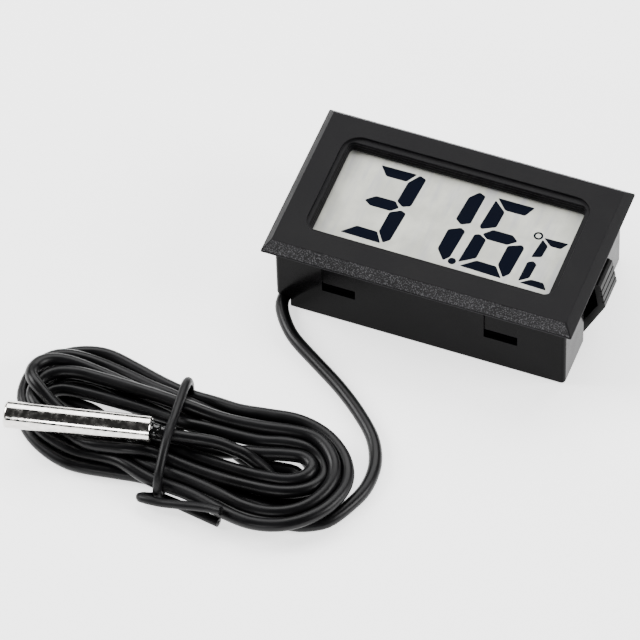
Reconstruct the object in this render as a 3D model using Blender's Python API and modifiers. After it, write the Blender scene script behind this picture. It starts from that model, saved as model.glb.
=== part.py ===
"""Panel-mount digital thermometer with a steel probe on a tied hank of cord.

X runs along the display, Y up the display and Z out of it.  The origin is the
middle of the back face, which lies on the table.  Sizes are written in
millimetres and turned into metres with MM.
"""

import math

import bmesh
import bpy
from mathutils import Matrix, Vector

MM = 0.001

# ---------------------------------------------------------------- driving sizes

GAP = 0.3 * MM  # clearance between neighbouring pieces

# front frame
FLANGE_LENGTH = 48.0 * MM
FLANGE_HEIGHT = 28.6 * MM
TOTAL_DEPTH = 15.2 * MM
FLANGE_THICKNESS = 1.83 * MM
FLANGE_LIP = 0.35 * MM  # upright edge below the chamfer
CHAMFER_X = 1.19 * MM
CHAMFER_Y = 1.33 * MM
FLANGE_EDGE = 0.15 * MM
RIM_RELIEF = 0.1 * MM  # how far the frame is let in over the rim of the housing
WINDOW_LENGTH = 36.6 * MM
WINDOW_HEIGHT = 16.6 * MM
WINDOW_CORNER = 0.6 * MM
STEP_X = 1.05 * MM  # shallow step round the window
STEP_Y = 1.4 * MM
STEP_CORNER = 2.85 * MM
STEP_DEPTH = 0.4 * MM

# rear housing
OVERHANG_X = 1.45 * MM  # how far the flange stands out beyond the housing
OVERHANG_Y = 1.73 * MM
WALL = 1.2 * MM
BACK_WALL = 1.6 * MM
HOUSING_CORNER = 0.6 * MM
BACK_EDGE = 0.3 * MM
LEDGE_OVERLAP = 1.4 * MM  # how far a corner ledge reaches under the board
LEDGE_THICKNESS = 1.6 * MM

# snap tongues of the front frame and the slots that they catch in
SLOT_CENTRE = 12.6 * MM
SLOT_WIDTH = 5.2 * MM
SLOT_BOTTOM = 6.0 * MM
SLOT_HEIGHT = 1.5 * MM
POCKET_DEPTH = 0.3 * MM
TONGUE_THICKNESS = 0.9 * MM
HOOK_REACH = 0.9 * MM

# display and board
FILM = 0.2 * MM
GLASS = 0.7 * MM
GLASS_MARGIN_X = 0.3 * MM  # glass hidden behind the frame
GLASS_MARGIN_Y = 1.3 * MM
CONTACT_LEDGE = 1.1 * MM  # strip of the front glass that the rear glass leaves bare
ZEBRA_LENGTH = 34.0 * MM
BOARD_THICKNESS = 1.0 * MM
BOARD_MARGIN = 0.2 * MM  # board beyond the glass, above and below
CHIP_RADIUS = 2.7 * MM
CHIP_HEIGHT = 1.0 * MM
CRYSTAL_RADIUS = 1.0 * MM
CRYSTAL_LENGTH = 6.0 * MM
CHIP_PART = Vector((2.0, 1.25, 0.6)) * MM  # a surface-mount capacitor or resistor
CHIP_CLEAR = 1.5 * MM  # from the chip blob to the middle of a capacitor
CHIP_PART_PITCH = 2.0 * MM

# button cells and their contacts
CELL_RADIUS = 5.8 * MM
CELL_HEIGHT = 5.4 * MM
CELL_STEP = 0.5 * MM
CELL_CAP_IN = 1.4 * MM  # how much smaller the raised cap of a cell is
WELL_WEB = 0.6 * MM  # wall left between the two wells
WELL_WALL = 0.8 * MM
WELL_RIB = 1.2 * MM
WELL_END = 1.1 * MM  # block beyond the wells towards the long walls
CONTACT_THICKNESS = 0.25 * MM
CONTACT_WIDTH = 4.0 * MM

# sliding battery cover
COVER_LIP = 0.5 * MM  # lip of the back wall that holds the cover
COVER_FLANGE = 0.5 * MM
COVER_RAIL = 1.3 * MM  # how far the flange runs behind the lip
COVER_RECESS = 0.15 * MM
COVER_BELOW = 8.0 * MM  # end of the cover below the middle
GRIP_COUNT = 5
GRIP_PITCH = 1.2 * MM
GRIP_WIDTH = 0.5 * MM
GRIP_DEPTH = 0.25 * MM

# spring clips, one at each end; offsets are from the outer face of the end wall
CLIP_WIDTH = 5.3 * MM
CLIP_THICKNESS = 1.0 * MM
CLIP_NOTCH = 8.4 * MM  # width of the notch in the end wall
POCKET_WALL = 0.5 * MM  # thin wall that closes the notch off from the board
CLIP_AXIS_IN = 1.25 * MM
CLIP_AXIS_Z = 0.6 * MM
CLIP_FOOT_Z = 0.35 * MM
CLIP_FOOT_IN = 0.45 * MM
CLIP_ELBOW_OUT = 2.75 * MM
CLIP_ELBOW_Z = 7.6 * MM
CLIP_TIP_OUT = 1.9 * MM
CLIP_TIP_BELOW = 1.07 * MM  # tip below the back of the flange
CLIP_TEETH = 4
CLIP_TOOTH_DEPTH = 0.35 * MM
CLIP_TOOTH_CREST = 0.75  # where the crest is, as a share of a tooth

# cord, probe and tie
CORD_DIAMETER = 2.0 * MM
ANCHOR_DIAMETER = 3.8 * MM
ANCHOR_LENGTH = 2.0 * MM
CONDUCTOR_DIAMETER = 0.9 * MM
CONDUCTOR_APART = 1.1 * MM  # between the two conductors where they leave the cord
CONDUCTOR_RISE = Vector((0.9, 0.0, 0.9)) * MM
PAD_APART = 1.3 * MM
PAD_IN = 3.4 * MM  # solder pads from the edge of the board
CORD_NOTCH = 2.2 * MM  # how far the notch for the cord cuts into the corner
HANK_CENTRE = Vector((-3.85, -30.43, 0.0)) * MM  # from the cord's corner
HANK_STRAIGHT = 15.2 * MM  # middle to the centre of a round end
HANK_END_RADIUS = 9.4 * MM
HANK_WAIST = 8.2 * MM
HANK_THICKNESS = 3.9 * MM
TIE_DIAMETER = 1.4 * MM
TIE_BED = 0.78 * MM  # height of the middle of the wire that runs under the hank
TIE_CENTRE = Vector((-4.1, -30.43, 0.0)) * MM  # from the cord's corner
TIE_TURN = math.radians(97.6)
PROBE_DIAMETER = 4.0 * MM
PROBE_LENGTH = 21.5 * MM
PROBE_WALL = 0.3 * MM
PROBE_NOSE = 0.5 * MM
PROBE_MOUTH = Vector((-6.65, -32.43, 0.0)) * MM  # open end, from the cord's corner
PROBE_TURN = math.radians(12.1)
PLUG_LENGTH = 2.0 * MM
PLUG_RECESS = 0.4 * MM
CORD_IN_PROBE = 1.8 * MM
BEAD_RADIUS = 1.2 * MM
LEG_DIAMETER = 0.4 * MM

# Cord route: where it starts inside the housing and how it lies on the table,
# as offsets from the corner of the housing that it leaves, in millimetres.
LEAD_POINTS = (
    (5.2, 5.5, 4.4),
    (3.9, 5.1, 3.7),
    (2.7, 4.3, 2.8),
    (1.7, 3.0, 1.8),
    (1.15, 1.6, 1.15),
    (1.05, 0.0, 1.02),
    (1.48, -1.45, 1.02),
    (2.70, -3.39, 1.02),
    (4.40, -5.36, 1.02),
    (6.45, -6.99, 1.02),
    (9.57, -9.01, 1.02),
    (14.77, -12.41, 1.02),
    (19.25, -16.03, 1.02),
    (22.62, -19.64, 1.02),
    (24.47, -23.76, 1.02),
    (24.69, -28.06, 1.02),
    (23.59, -31.68, 1.02),
    (21.83, -35.15, 1.02),
    (20.10, -36.60, 1.02),
    (18.10, -37.45, 1.02),
    (15.90, -37.70, 1.02),
)

# The last stretch, from the probe under the tie and down into the hank.
TAIL_POINTS = (
    (-8.41, -32.81, 6.20),
    (-6.65, -32.43, 6.20),
    (-5.20, -32.10, 5.80),
    (-3.60, -31.75, 5.40),
    (-1.50, -31.35, 5.25),
    (1.00, -30.90, 5.22),
    (3.40, -30.50, 4.90),
    (5.40, -30.30, 4.35),
    (7.10, -30.25, 3.95),
)

# The wire tie: along and across its own plane and height, in millimetres.  It
# runs from one cut end, over the hank, back under it and out to the other end.
TIE_POINTS = (
    (-11.85, 9.55, 0.80),
    (-10.80, 6.00, 0.80),
    (-9.90, 3.00, 0.80),
    (-9.50, 1.20, 0.85),
    (-9.45, 0.30, 1.25),
    (-9.60, 0.00, 2.20),
    (-9.55, 0.00, 3.50),
    (-8.90, 0.00, 5.00),
    (-7.40, 0.00, 6.00),
    (-5.00, 0.00, 6.90),
    (-2.20, 0.00, 7.30),
    (0.00, 0.00, 6.90),
    (4.00, 0.00, 6.40),
    (7.00, 0.00, 6.00),
    (8.70, 0.00, 5.20),
    (9.40, 0.00, 3.90),
    (9.45, 0.00, 2.40),
    (9.20, 0.00, 1.20),
    (7.80, 0.00, 0.78),
    (4.00, 0.00, 0.78),
    (-1.00, 0.00, 0.78),
    (-5.00, 0.00, 0.78),
    (-8.60, 0.00, 0.78),
    (-9.45, -0.90, 0.85),
    (-9.95, -2.20, 1.20),
    (-10.45, -2.40, 1.60),
    (-10.90, -1.20, 2.00),
    (-11.20, 1.00, 2.30),
    (-11.45, 3.40, 2.90),
    (-11.80, 7.70, 3.90),
    (-12.35, 10.10, 4.50),
)
CORD_SPACING = 4.0 * MM
TIE_SPACING = 1.6 * MM

# -------------------------------------------------------------- derived places

BODY_X = FLANGE_LENGTH / 2 - OVERHANG_X
BODY_Y = FLANGE_HEIGHT / 2 - OVERHANG_Y
FLANGE_REAR = TOTAL_DEPTH - FLANGE_THICKNESS
HOUSING_TOP = FLANGE_REAR - GAP
INNER_X = BODY_X - WALL
INNER_Y = BODY_Y - WALL
EMBED = 0.15 * MM  # how far a joined piece is sunk in, so that the union is one body
BEYOND = 5.0 * MM  # how far a cutter runs past what it cuts

TONGUE_OUTER = INNER_Y - GAP
TONGUE_INNER = TONGUE_OUTER - TONGUE_THICKNESS
TONGUE_WIDTH = SLOT_WIDTH - 2 * GAP
HOOK_BOTTOM = SLOT_BOTTOM + GAP
HOOK_TOP = SLOT_BOTTOM + SLOT_HEIGHT - GAP

GLASS_X = WINDOW_LENGTH / 2 + GLASS_MARGIN_X
GLASS_Y = WINDOW_HEIGHT / 2 + GLASS_MARGIN_Y
REAR_GLASS_Y = GLASS_Y - CONTACT_LEDGE
FILM_TOP = FLANGE_REAR - GAP
FRONT_GLASS_TOP = FILM_TOP - FILM - GAP
REAR_GLASS_TOP = FRONT_GLASS_TOP - GLASS - GAP
REFLECTOR_TOP = REAR_GLASS_TOP - GLASS - GAP
BOARD_X = GLASS_X
BOARD_Y = GLASS_Y + BOARD_MARGIN

CELL_X = CELL_RADIUS + GAP + WELL_WEB / 2
WELL_RADIUS = CELL_RADIUS + GAP
WELL_X = CELL_X + WELL_RADIUS + WELL_WALL
WELL_Y = WELL_RADIUS + WELL_END
COVER_TOP = COVER_LIP + GAP + COVER_FLANGE
BRIDGE_BOTTOM = COVER_TOP + GAP
CELL_BOTTOM = BRIDGE_BOTTOM + CONTACT_THICKNESS + GAP
CELL_TOP = CELL_BOTTOM + CELL_HEIGHT
CONTACT_BOTTOM = CELL_TOP + GAP
BOARD_BOTTOM = CONTACT_BOTTOM + CONTACT_THICKNESS + GAP
BOARD_TOP = BOARD_BOTTOM + BOARD_THICKNESS
UNDER_BOARD = BOARD_BOTTOM - GAP

CLIP_AXIS_X = BODY_X - CLIP_AXIS_IN
POCKET_X = GLASS_X + GAP + POCKET_WALL  # inner end of the notch that a clip bends into
CLIP_TIP_Z = FLANGE_REAR - CLIP_TIP_BELOW

CORNER = Vector((-BODY_X, -BODY_Y, 0.0))
CORD_RADIUS = CORD_DIAMETER / 2
TIE_RADIUS = TIE_DIAMETER / 2
PROBE_RADIUS = PROBE_DIAMETER / 2
PROBE_Z = HANK_THICKNESS + GAP + PROBE_RADIUS

# ---------------------------------------------------------------------- scene

for old in list(bpy.data.objects):
    bpy.data.objects.remove(old, do_unlink=True)


def new_collection(name):
    collection = bpy.data.collections.new(name)
    bpy.context.scene.collection.children.link(collection)
    return collection


PARTS = new_collection("panel_thermometer")
CUTTERS = new_collection("cutters")
CUTTERS.hide_render = True


def material(name, colour, roughness, metallic=0.0):
    made = bpy.data.materials.new(name)
    made.use_nodes = True
    shader = made.node_tree.nodes["Principled BSDF"]
    shader.inputs["Base Color"].default_value = (*colour, 1.0)
    shader.inputs["Roughness"].default_value = roughness
    shader.inputs["Metallic"].default_value = metallic
    return made


BLACK_GRAIN = ("black_abs_grained", (0.022, 0.022, 0.024), 0.55)
BLACK_GLOSS = ("black_abs_glossy", (0.012, 0.012, 0.013), 0.25)
STEEL = ("polished_steel", (0.62, 0.61, 0.59), 0.18, 1.0)
NICKEL = ("nickel_plate", (0.66, 0.63, 0.56), 0.3, 1.0)
PVC = ("black_pvc", (0.018, 0.017, 0.019), 0.42)
LCD_GREY = ("display_grey", (0.66, 0.68, 0.62), 0.35)
GLASS_TINT = ("display_glass", (0.55, 0.62, 0.58), 0.1)
SILVER = ("reflector_silver", (0.70, 0.71, 0.69), 0.4, 0.6)
RUBBER = ("zebra_rubber", (0.35, 0.33, 0.30), 0.7)
FIBREGLASS = ("board_green", (0.02, 0.16, 0.07), 0.45)
EPOXY = ("black_epoxy", (0.01, 0.01, 0.01), 0.35)
CERAMIC = ("tan_ceramic", (0.45, 0.33, 0.22), 0.5)
GLUE = ("clear_glue", (0.62, 0.58, 0.46), 0.4)
COPPER = ("tinned_copper", (0.70, 0.55, 0.42), 0.35, 1.0)
RED_PVC = ("red_pvc", (0.45, 0.02, 0.02), 0.45)


def finish(obj, look, smooth=False):
    """Gives a finished piece its own material and puts it with the parts."""
    name, *values = look
    obj.data.materials.clear()
    obj.data.materials.append(material(f"{obj.name}_{name}", *values))
    for collection in list(obj.users_collection):
        collection.objects.unlink(obj)
    PARTS.objects.link(obj)
    if smooth and obj.type == "MESH":
        obj.data.shade_smooth()
        obj.data.set_sharp_from_angle(angle=math.radians(40))
    return obj


def as_cutter(obj):
    """Puts a helper with the cutters, out of the render."""
    for collection in list(obj.users_collection):
        collection.objects.unlink(obj)
    CUTTERS.objects.link(obj)
    obj.hide_render = True
    obj.display_type = "WIRE"
    return obj


def object_from(name, mesh, location=(0, 0, 0)):
    obj = bpy.data.objects.new(name, mesh)
    obj.location = location
    bpy.context.scene.collection.objects.link(obj)
    return obj


def box(name, low, high):
    """A box between two corners, with its origin at its centre."""
    low, high = Vector(low), Vector(high)
    shape = bmesh.new()
    bmesh.ops.create_cube(shape, size=1.0)
    bmesh.ops.scale(shape, vec=high - low, verts=shape.verts)
    mesh = bpy.data.meshes.new(name)
    shape.to_mesh(mesh)
    shape.free()
    return object_from(name, mesh, (low + high) / 2)


def cylinder(name, radius, low, high, centre=(0, 0), segments=32):
    """An upright cylinder between two heights."""
    shape = bmesh.new()
    bmesh.ops.create_cone(
        shape,
        cap_ends=True,
        segments=segments,
        radius1=radius,
        radius2=radius,
        depth=high - low,
    )
    mesh = bpy.data.meshes.new(name)
    shape.to_mesh(mesh)
    shape.free()
    return object_from(name, mesh, (centre[0], centre[1], (low + high) / 2))


def turned(name, profile, steps=24):
    """Turns a profile of (radius, height) points, top to bottom on its outer side."""
    mesh = bpy.data.meshes.new(name)
    points = [(radius, 0.0, height) for radius, height in profile]
    mesh.from_pydata(points, [(i, i + 1) for i in range(len(points) - 1)], [])
    obj = object_from(name, mesh)
    screw = obj.modifiers.new("turn", "SCREW")
    screw.steps = steps
    screw.render_steps = steps
    screw.use_merge_vertices = True
    screw.merge_threshold = 0.00001
    return obj


def poly_curve(name, points, dimensions, cyclic):
    curve = bpy.data.curves.new(name, "CURVE")
    curve.dimensions = dimensions
    spline = curve.splines.new("POLY")
    spline.points.add(len(points) - 1)
    for point, place in zip(spline.points, points):
        point.co = (*place, 1.0)
    spline.use_cyclic_u = cyclic
    return curve


def tube(name, points, radius):
    """A round wire or cord through the points."""
    curve = poly_curve(name, points, "3D", cyclic=False)
    curve.bevel_depth = radius
    curve.bevel_resolution = 2
    curve.use_fill_caps = True
    return object_from(name, curve)


def plate(name, outline, thickness):
    """A flat outline of (x, y) points, as thick as given, about its own plane."""
    curve = poly_curve(name, [(x, y, 0.0) for x, y in outline], "2D", cyclic=True)
    curve.fill_mode = "BOTH"
    curve.extrude = thickness / 2
    return object_from(name, curve)


def to_mesh(obj):
    """Makes a curve object a welded mesh, so that it can be cut or joined."""
    bpy.context.view_layer.update()
    graph = bpy.context.evaluated_depsgraph_get()
    mesh = bpy.data.meshes.new_from_object(obj.evaluated_get(graph))
    shape = bmesh.new()
    shape.from_mesh(mesh)
    bmesh.ops.remove_doubles(shape, verts=shape.verts, dist=0.000001)
    bmesh.ops.recalc_face_normals(shape, faces=shape.faces)
    shape.to_mesh(mesh)
    shape.free()
    name = obj.name
    made = object_from(f"{name}_mesh", mesh)
    made.matrix_world = obj.matrix_world.copy()
    bpy.data.objects.remove(obj, do_unlink=True)
    made.name = name
    return made


def boolean(obj, other, operation):
    modifier = obj.modifiers.new(f"{operation.lower()}_{other.name}", "BOOLEAN")
    modifier.operation = operation
    modifier.object = as_cutter(other)


def cut(obj, *others):
    for other in others:
        boolean(obj, other, "DIFFERENCE")


def join(obj, *others):
    for other in others:
        boolean(obj, other, "UNION")


def bevel_edges(obj, chosen, width, segments):
    """Rounds the edges of a mesh that the test picks by their two ends."""
    shape = bmesh.new()
    shape.from_mesh(obj.data)
    edges = [e for e in shape.edges if chosen(e.verts[0].co, e.verts[1].co)]
    bmesh.ops.bevel(
        shape,
        geom=edges,
        offset=width,
        segments=segments,
        profile=0.5,
        affect="EDGES",
    )
    shape.to_mesh(obj.data)
    shape.free()


def upright(start, end):
    return abs(start.z - end.z) > abs(start.x - end.x) + abs(start.y - end.y)


def rounded_rectangle(half_x, half_y, radius, segments=5):
    """Corner arcs of a rectangle's outline, anticlockwise."""
    points = []
    for quarter, (sx, sy) in enumerate(((1, 1), (-1, 1), (-1, -1), (1, -1))):
        for step in range(segments + 1):
            angle = math.pi / 2 * (quarter + step / segments)
            x = sx * (half_x - radius) + radius * math.cos(angle)
            y = sy * (half_y - radius) + radius * math.sin(angle)
            points.append((x, y))
    return points


def window_prism(name, half_x, half_y, radius, low, high):
    prism = to_mesh(plate(name, rounded_rectangle(half_x, half_y, radius), high - low))
    prism.location.z = (low + high) / 2
    return prism


def smooth_route(points, spacing):
    """Points about every spacing along the smooth curve through the route's points."""
    dense = []
    ends = [2 * points[0] - points[1], *points, 2 * points[-1] - points[-2]]
    for before, start, end, after in zip(ends, ends[1:], ends[2:], ends[3:]):
        for step in range(12):
            t = step / 12
            dense.append(
                0.5
                * (
                    2 * start
                    + (end - before) * t
                    + (2 * before - 5 * start + 4 * end - after) * t * t
                    + (3 * start - before - 3 * end + after) * t**3
                )
            )
    dense.append(points[-1])
    lengths = [0.0]
    for start, end in zip(dense, dense[1:]):
        lengths.append(lengths[-1] + (end - start).length)
    count = max(2, round(lengths[-1] / spacing))
    route = []
    for index in range(count + 1):
        wanted = lengths[-1] * index / count
        after = next(i for i, value in enumerate(lengths) if value >= wanted - 1e-12)
        after = max(after, 1)
        span = lengths[after] - lengths[after - 1]
        share = (wanted - lengths[after - 1]) / span
        route.append(dense[after - 1].lerp(dense[after], share))
    return route


def from_corner(points):
    """Route points in millimetres from the cord's corner, made world places."""
    return [CORNER + Vector(point) * MM for point in points]


# ----------------------------------------------------------------- front frame


def make_front_bezel():
    bezel = box(
        "front_bezel",
        (-FLANGE_LENGTH / 2, -FLANGE_HEIGHT / 2, FLANGE_REAR),
        (FLANGE_LENGTH / 2, FLANGE_HEIGHT / 2, FLANGE_REAR + FLANGE_LIP),
    )
    shape = bmesh.new()
    shape.from_mesh(bezel.data)
    shape.faces.ensure_lookup_table()
    top = max(shape.faces, key=lambda face: face.calc_center_median().z)
    raised = bmesh.ops.extrude_face_region(shape, geom=[top])
    corners = [item for item in raised["geom"] if isinstance(item, bmesh.types.BMVert)]
    rise = FLANGE_THICKNESS - FLANGE_LIP
    inset = (
        1 - 2 * CHAMFER_X / FLANGE_LENGTH,
        1 - 2 * CHAMFER_Y / FLANGE_HEIGHT,
        1.0,
    )
    bmesh.ops.translate(shape, vec=(0, 0, rise), verts=corners)
    bmesh.ops.scale(shape, vec=inset, verts=corners)
    bmesh.ops.delete(shape, geom=[top], context="FACES_ONLY")
    bmesh.ops.recalc_face_normals(shape, faces=shape.faces)
    shape.to_mesh(bezel.data)
    shape.free()
    bevel_edges(bezel, lambda start, end: True, FLANGE_EDGE, 1)

    relief = box(
        "rim_relief",
        (-BODY_X - GAP, -BODY_Y - GAP, FLANGE_REAR - BEYOND),
        (BODY_X + GAP, BODY_Y + GAP, FLANGE_REAR + RIM_RELIEF),
    )
    cut(bezel, relief)
    for side in (-1, 1):
        for end in (-1, 1):
            join(bezel, make_tongue(side, end))
    cut(
        bezel,
        window_prism(
            "window_step",
            WINDOW_LENGTH / 2 + STEP_X,
            WINDOW_HEIGHT / 2 + STEP_Y,
            STEP_CORNER,
            TOTAL_DEPTH - STEP_DEPTH,
            TOTAL_DEPTH + BEYOND,
        ),
        window_prism(
            "window_opening",
            WINDOW_LENGTH / 2,
            WINDOW_HEIGHT / 2,
            WINDOW_CORNER,
            FLANGE_REAR - BEYOND,
            TOTAL_DEPTH + BEYOND,
        ),
    )
    finish(bezel, BLACK_GRAIN)


def make_tongue(side, end):
    """A tongue with its hook, drawn in the Y-Z plane and as wide as the slot allows."""
    hook_tip = TONGUE_OUTER + GAP + HOOK_REACH
    root = FLANGE_REAR + RIM_RELIEF + EMBED
    outline = (
        (TONGUE_INNER, root),
        (TONGUE_INNER, HOOK_BOTTOM),
        (TONGUE_OUTER, HOOK_BOTTOM),
        (hook_tip, (HOOK_BOTTOM + HOOK_TOP) / 2),
        (hook_tip, HOOK_TOP),
        (TONGUE_OUTER, HOOK_TOP),
        (TONGUE_OUTER, root),
    )
    name = f"tongue_{'upper' if side > 0 else 'lower'}_{'right' if end > 0 else 'left'}"
    tongue = plate(name, [(side * y, z) for y, z in outline], TONGUE_WIDTH)
    tongue.rotation_euler = (math.pi / 2, 0, math.pi / 2)
    tongue.location.x = end * SLOT_CENTRE
    return to_mesh(tongue)


# ---------------------------------------------------------------- rear housing


def make_rear_housing(lead_route):
    housing = box(
        "rear_housing", (-BODY_X, -BODY_Y, 0), (BODY_X, BODY_Y, HOUSING_TOP)
    )
    back = -HOUSING_TOP / 2
    bevel_edges(housing, upright, HOUSING_CORNER, 3)
    bevel_edges(
        housing,
        lambda start, end: max(start.z, end.z) < back + EMBED,
        BACK_EDGE,
        2,
    )
    cut(
        housing,
        box(
            "inside",
            (-INNER_X, -INNER_Y, BACK_WALL),
            (INNER_X, INNER_Y, HOUSING_TOP + BEYOND),
        ),
    )
    add_board_ledges(housing)
    add_cell_wells(housing)
    cut_cover_slot(housing)
    cut_snap_slots(housing)
    make_clip_pockets(housing)
    cut_cord_way(housing, lead_route)
    finish(housing, BLACK_GLOSS)


def make_clip_pockets(housing):
    """A walled notch in each end, open at the back, that a clip bends into."""
    half = CLIP_NOTCH / 2
    for name, end in (("left", -1), ("right", 1)):
        low_x, high_x = sorted((end * (POCKET_X - POCKET_WALL), end * (INNER_X + EMBED)))
        lining = box(
            f"pocket_lining_{name}",
            (low_x, -half - POCKET_WALL, BACK_WALL - EMBED),
            (high_x, half + POCKET_WALL, HOUSING_TOP),
        )
        join(housing, lining)
        low_x, high_x = sorted((end * POCKET_X, end * (BODY_X + BEYOND)))
        notch = box(
            f"clip_notch_{name}",
            (low_x, -half, -BEYOND),
            (high_x, half, HOUSING_TOP + BEYOND),
        )
        cut(housing, notch)


def add_board_ledges(housing):
    """A ledge in each inside corner, just under a corner of the board."""
    for x_side in (-1, 1):
        for y_side in (-1, 1):
            near = Vector((BOARD_X - LEDGE_OVERLAP, BOARD_Y - LEDGE_OVERLAP, 0))
            far = Vector((INNER_X + EMBED, INNER_Y + EMBED, 0))
            xs = sorted((x_side * near.x, x_side * far.x))
            ys = sorted((y_side * near.y, y_side * far.y))
            top = UNDER_BOARD
            ledge = box(
                f"board_ledge_{x_side}_{y_side}",
                (xs[0], ys[0], top - LEDGE_THICKNESS),
                (xs[1], ys[1], top),
            )
            join(housing, ledge)


def add_cell_wells(housing):
    """One block for both cells, held off the long walls by ribs."""
    low = CELL_BOTTOM
    high = CELL_TOP - GAP
    join(housing, box("well_block", (-WELL_X, -WELL_Y, low), (WELL_X, WELL_Y, high)))
    for side in (-1, 1):
        for end in (-1, 1):
            ys = sorted((side * (WELL_Y - EMBED), side * (INNER_Y + EMBED)))
            x = end * CELL_X
            rib = box(
                f"well_rib_{side}_{end}",
                (x - WELL_RIB / 2, ys[0], low + GAP),
                (x + WELL_RIB / 2, ys[1], high - GAP),
            )
            join(housing, rib)
    for end in (-1, 1):
        well = cylinder(
            f"well_bore_{end}",
            WELL_RADIUS,
            COVER_TOP,
            CELL_TOP + BEYOND,
            (end * CELL_X, 0),
            segments=40,
        )
        cut(housing, well)


def cut_cover_slot(housing):
    """The way for the cover: narrow between the lips and wide behind them."""
    low_y = -COVER_BELOW - GAP
    high_y = BODY_Y + BEYOND
    wide = cover_half_width() + GAP
    narrow = wide - COVER_RAIL
    cut(
        housing,
        box("cover_way", (-narrow, low_y, -BEYOND), (narrow, high_y, BACK_WALL + EMBED)),
        box("cover_rails", (-wide, low_y, COVER_LIP), (wide, high_y, BACK_WALL + EMBED)),
    )


def cover_half_width():
    return WELL_X - GAP / 2


def cut_snap_slots(housing):
    for side in (-1, 1):
        for end in (-1, 1):
            x = end * SLOT_CENTRE
            through = sorted((side * (INNER_Y - EMBED), side * (BODY_Y + BEYOND)))
            shallow = sorted((side * (BODY_Y - POCKET_DEPTH), side * (BODY_Y + BEYOND)))
            top = SLOT_BOTTOM + SLOT_HEIGHT
            low_x, high_x = x - SLOT_WIDTH / 2, x + SLOT_WIDTH / 2
            cut(
                housing,
                box(
                    f"snap_slot_{side}_{end}",
                    (low_x, through[0], SLOT_BOTTOM),
                    (high_x, through[1], top),
                ),
                box(
                    f"snap_pocket_{side}_{end}",
                    (low_x, shallow[0], top - EMBED),
                    (high_x, shallow[1], HOUSING_TOP + BEYOND),
                ),
            )


def cut_cord_way(housing, lead_route):
    """A notch at the back corner, and the round way that the cord takes inside."""
    way_radius = CORD_RADIUS + GAP
    notch_in = CORNER + Vector((CORD_DIAMETER + GAP, CORD_NOTCH, CORD_DIAMETER + GAP))
    notch_out = CORNER - Vector((BEYOND, BEYOND, BEYOND))
    inside = [point for point in lead_route if point.y > CORNER.y - BEYOND / 2]
    cut(
        housing,
        box("cord_notch", notch_out, notch_in),
        to_mesh(tube("cord_way", inside, way_radius)),
    )


# ----------------------------------------------------------------- spring clips


def clip_outline():
    """The clip's side, as (outwards, up) from its bending axis at rest."""
    out = CLIP_AXIS_IN
    foot = (out - CLIP_FOOT_IN, CLIP_FOOT_Z - CLIP_AXIS_Z)
    elbow = (out + CLIP_ELBOW_OUT, CLIP_ELBOW_Z - CLIP_AXIS_Z)
    tip = (out + CLIP_TIP_OUT, CLIP_TIP_Z - CLIP_AXIS_Z)
    outline = [foot, elbow]
    for tooth in range(CLIP_TEETH):
        crest = (tooth + CLIP_TOOTH_CREST) / CLIP_TEETH
        root = (tooth + 1.0) / CLIP_TEETH
        for share, depth in ((crest, 0.0), (root, CLIP_TOOTH_DEPTH)):
            x = elbow[0] + (tip[0] - elbow[0]) * share - depth
            y = elbow[1] + (tip[1] - elbow[1]) * share
            outline.append((x, y))
    outline += [
        (tip[0] - CLIP_THICKNESS, tip[1]),
        (elbow[0] - CLIP_THICKNESS - CLIP_TOOTH_DEPTH / 2, elbow[1]),
        (foot[0] - CLIP_THICKNESS, foot[1] + CLIP_THICKNESS),
        (foot[0] - CLIP_THICKNESS, foot[1]),
    ]
    return outline


def make_side_clip(name, end):
    clip = plate(name, [(end * x, z) for x, z in clip_outline()], CLIP_WIDTH)
    clip.rotation_euler = (math.pi / 2, 0, 0)
    clip.location = (end * CLIP_AXIS_X, 0, CLIP_AXIS_Z)
    finish(clip, BLACK_GLOSS)


# ---------------------------------------------------------------- battery cover


def make_battery_cover():
    """A plate with a rail along each side, and grip grooves at its outer end."""
    wide = cover_half_width()
    narrow = wide - COVER_RAIL
    rail = COVER_LIP + GAP
    low_y = -COVER_BELOW
    high_y = BODY_Y - GAP / 2
    cover = box("battery_cover", (-narrow, low_y, COVER_RECESS), (narrow, high_y, COVER_TOP))
    for side in (-1, 1):
        xs = sorted((side * (narrow - EMBED), side * wide))
        join(cover, box(f"rail_{side}", (xs[0], low_y, rail), (xs[1], high_y, COVER_TOP)))
    for groove in range(GRIP_COUNT):
        y = high_y - (groove + 1.5) * GRIP_PITCH
        cut(
            cover,
            box(
                f"grip_groove_{groove}",
                (-wide / 2, y - GRIP_WIDTH / 2, -BEYOND),
                (wide / 2, y + GRIP_WIDTH / 2, COVER_RECESS + GRIP_DEPTH),
            ),
        )
    finish(cover, BLACK_GLOSS)


# ------------------------------------------------------------ display and board


def make_layer(name, half_x, half_y, top, thickness, look):
    layer = box(name, (-half_x, -half_y, top - thickness), (half_x, half_y, top))
    finish(layer, look)


def make_display():
    make_layer("lcd_polariser", GLASS_X, GLASS_Y, FILM_TOP, FILM, LCD_GREY)
    make_layer("lcd_front_glass", GLASS_X, GLASS_Y, FRONT_GLASS_TOP, GLASS, GLASS_TINT)
    make_layer("lcd_rear_glass", GLASS_X, REAR_GLASS_Y, REAR_GLASS_TOP, GLASS, GLASS_TINT)
    make_layer("lcd_reflector", GLASS_X, REAR_GLASS_Y, REFLECTOR_TOP, FILM, SILVER)
    for name, side in (("zebra_strip_upper", 1), ("zebra_strip_lower", -1)):
        ys = sorted((side * (REAR_GLASS_Y + GAP), side * GLASS_Y))
        strip = box(
            name,
            (-ZEBRA_LENGTH / 2, ys[0], BOARD_TOP + GAP),
            (ZEBRA_LENGTH / 2, ys[1], FRONT_GLASS_TOP - GLASS - GAP),
        )
        finish(strip, RUBBER)


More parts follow.
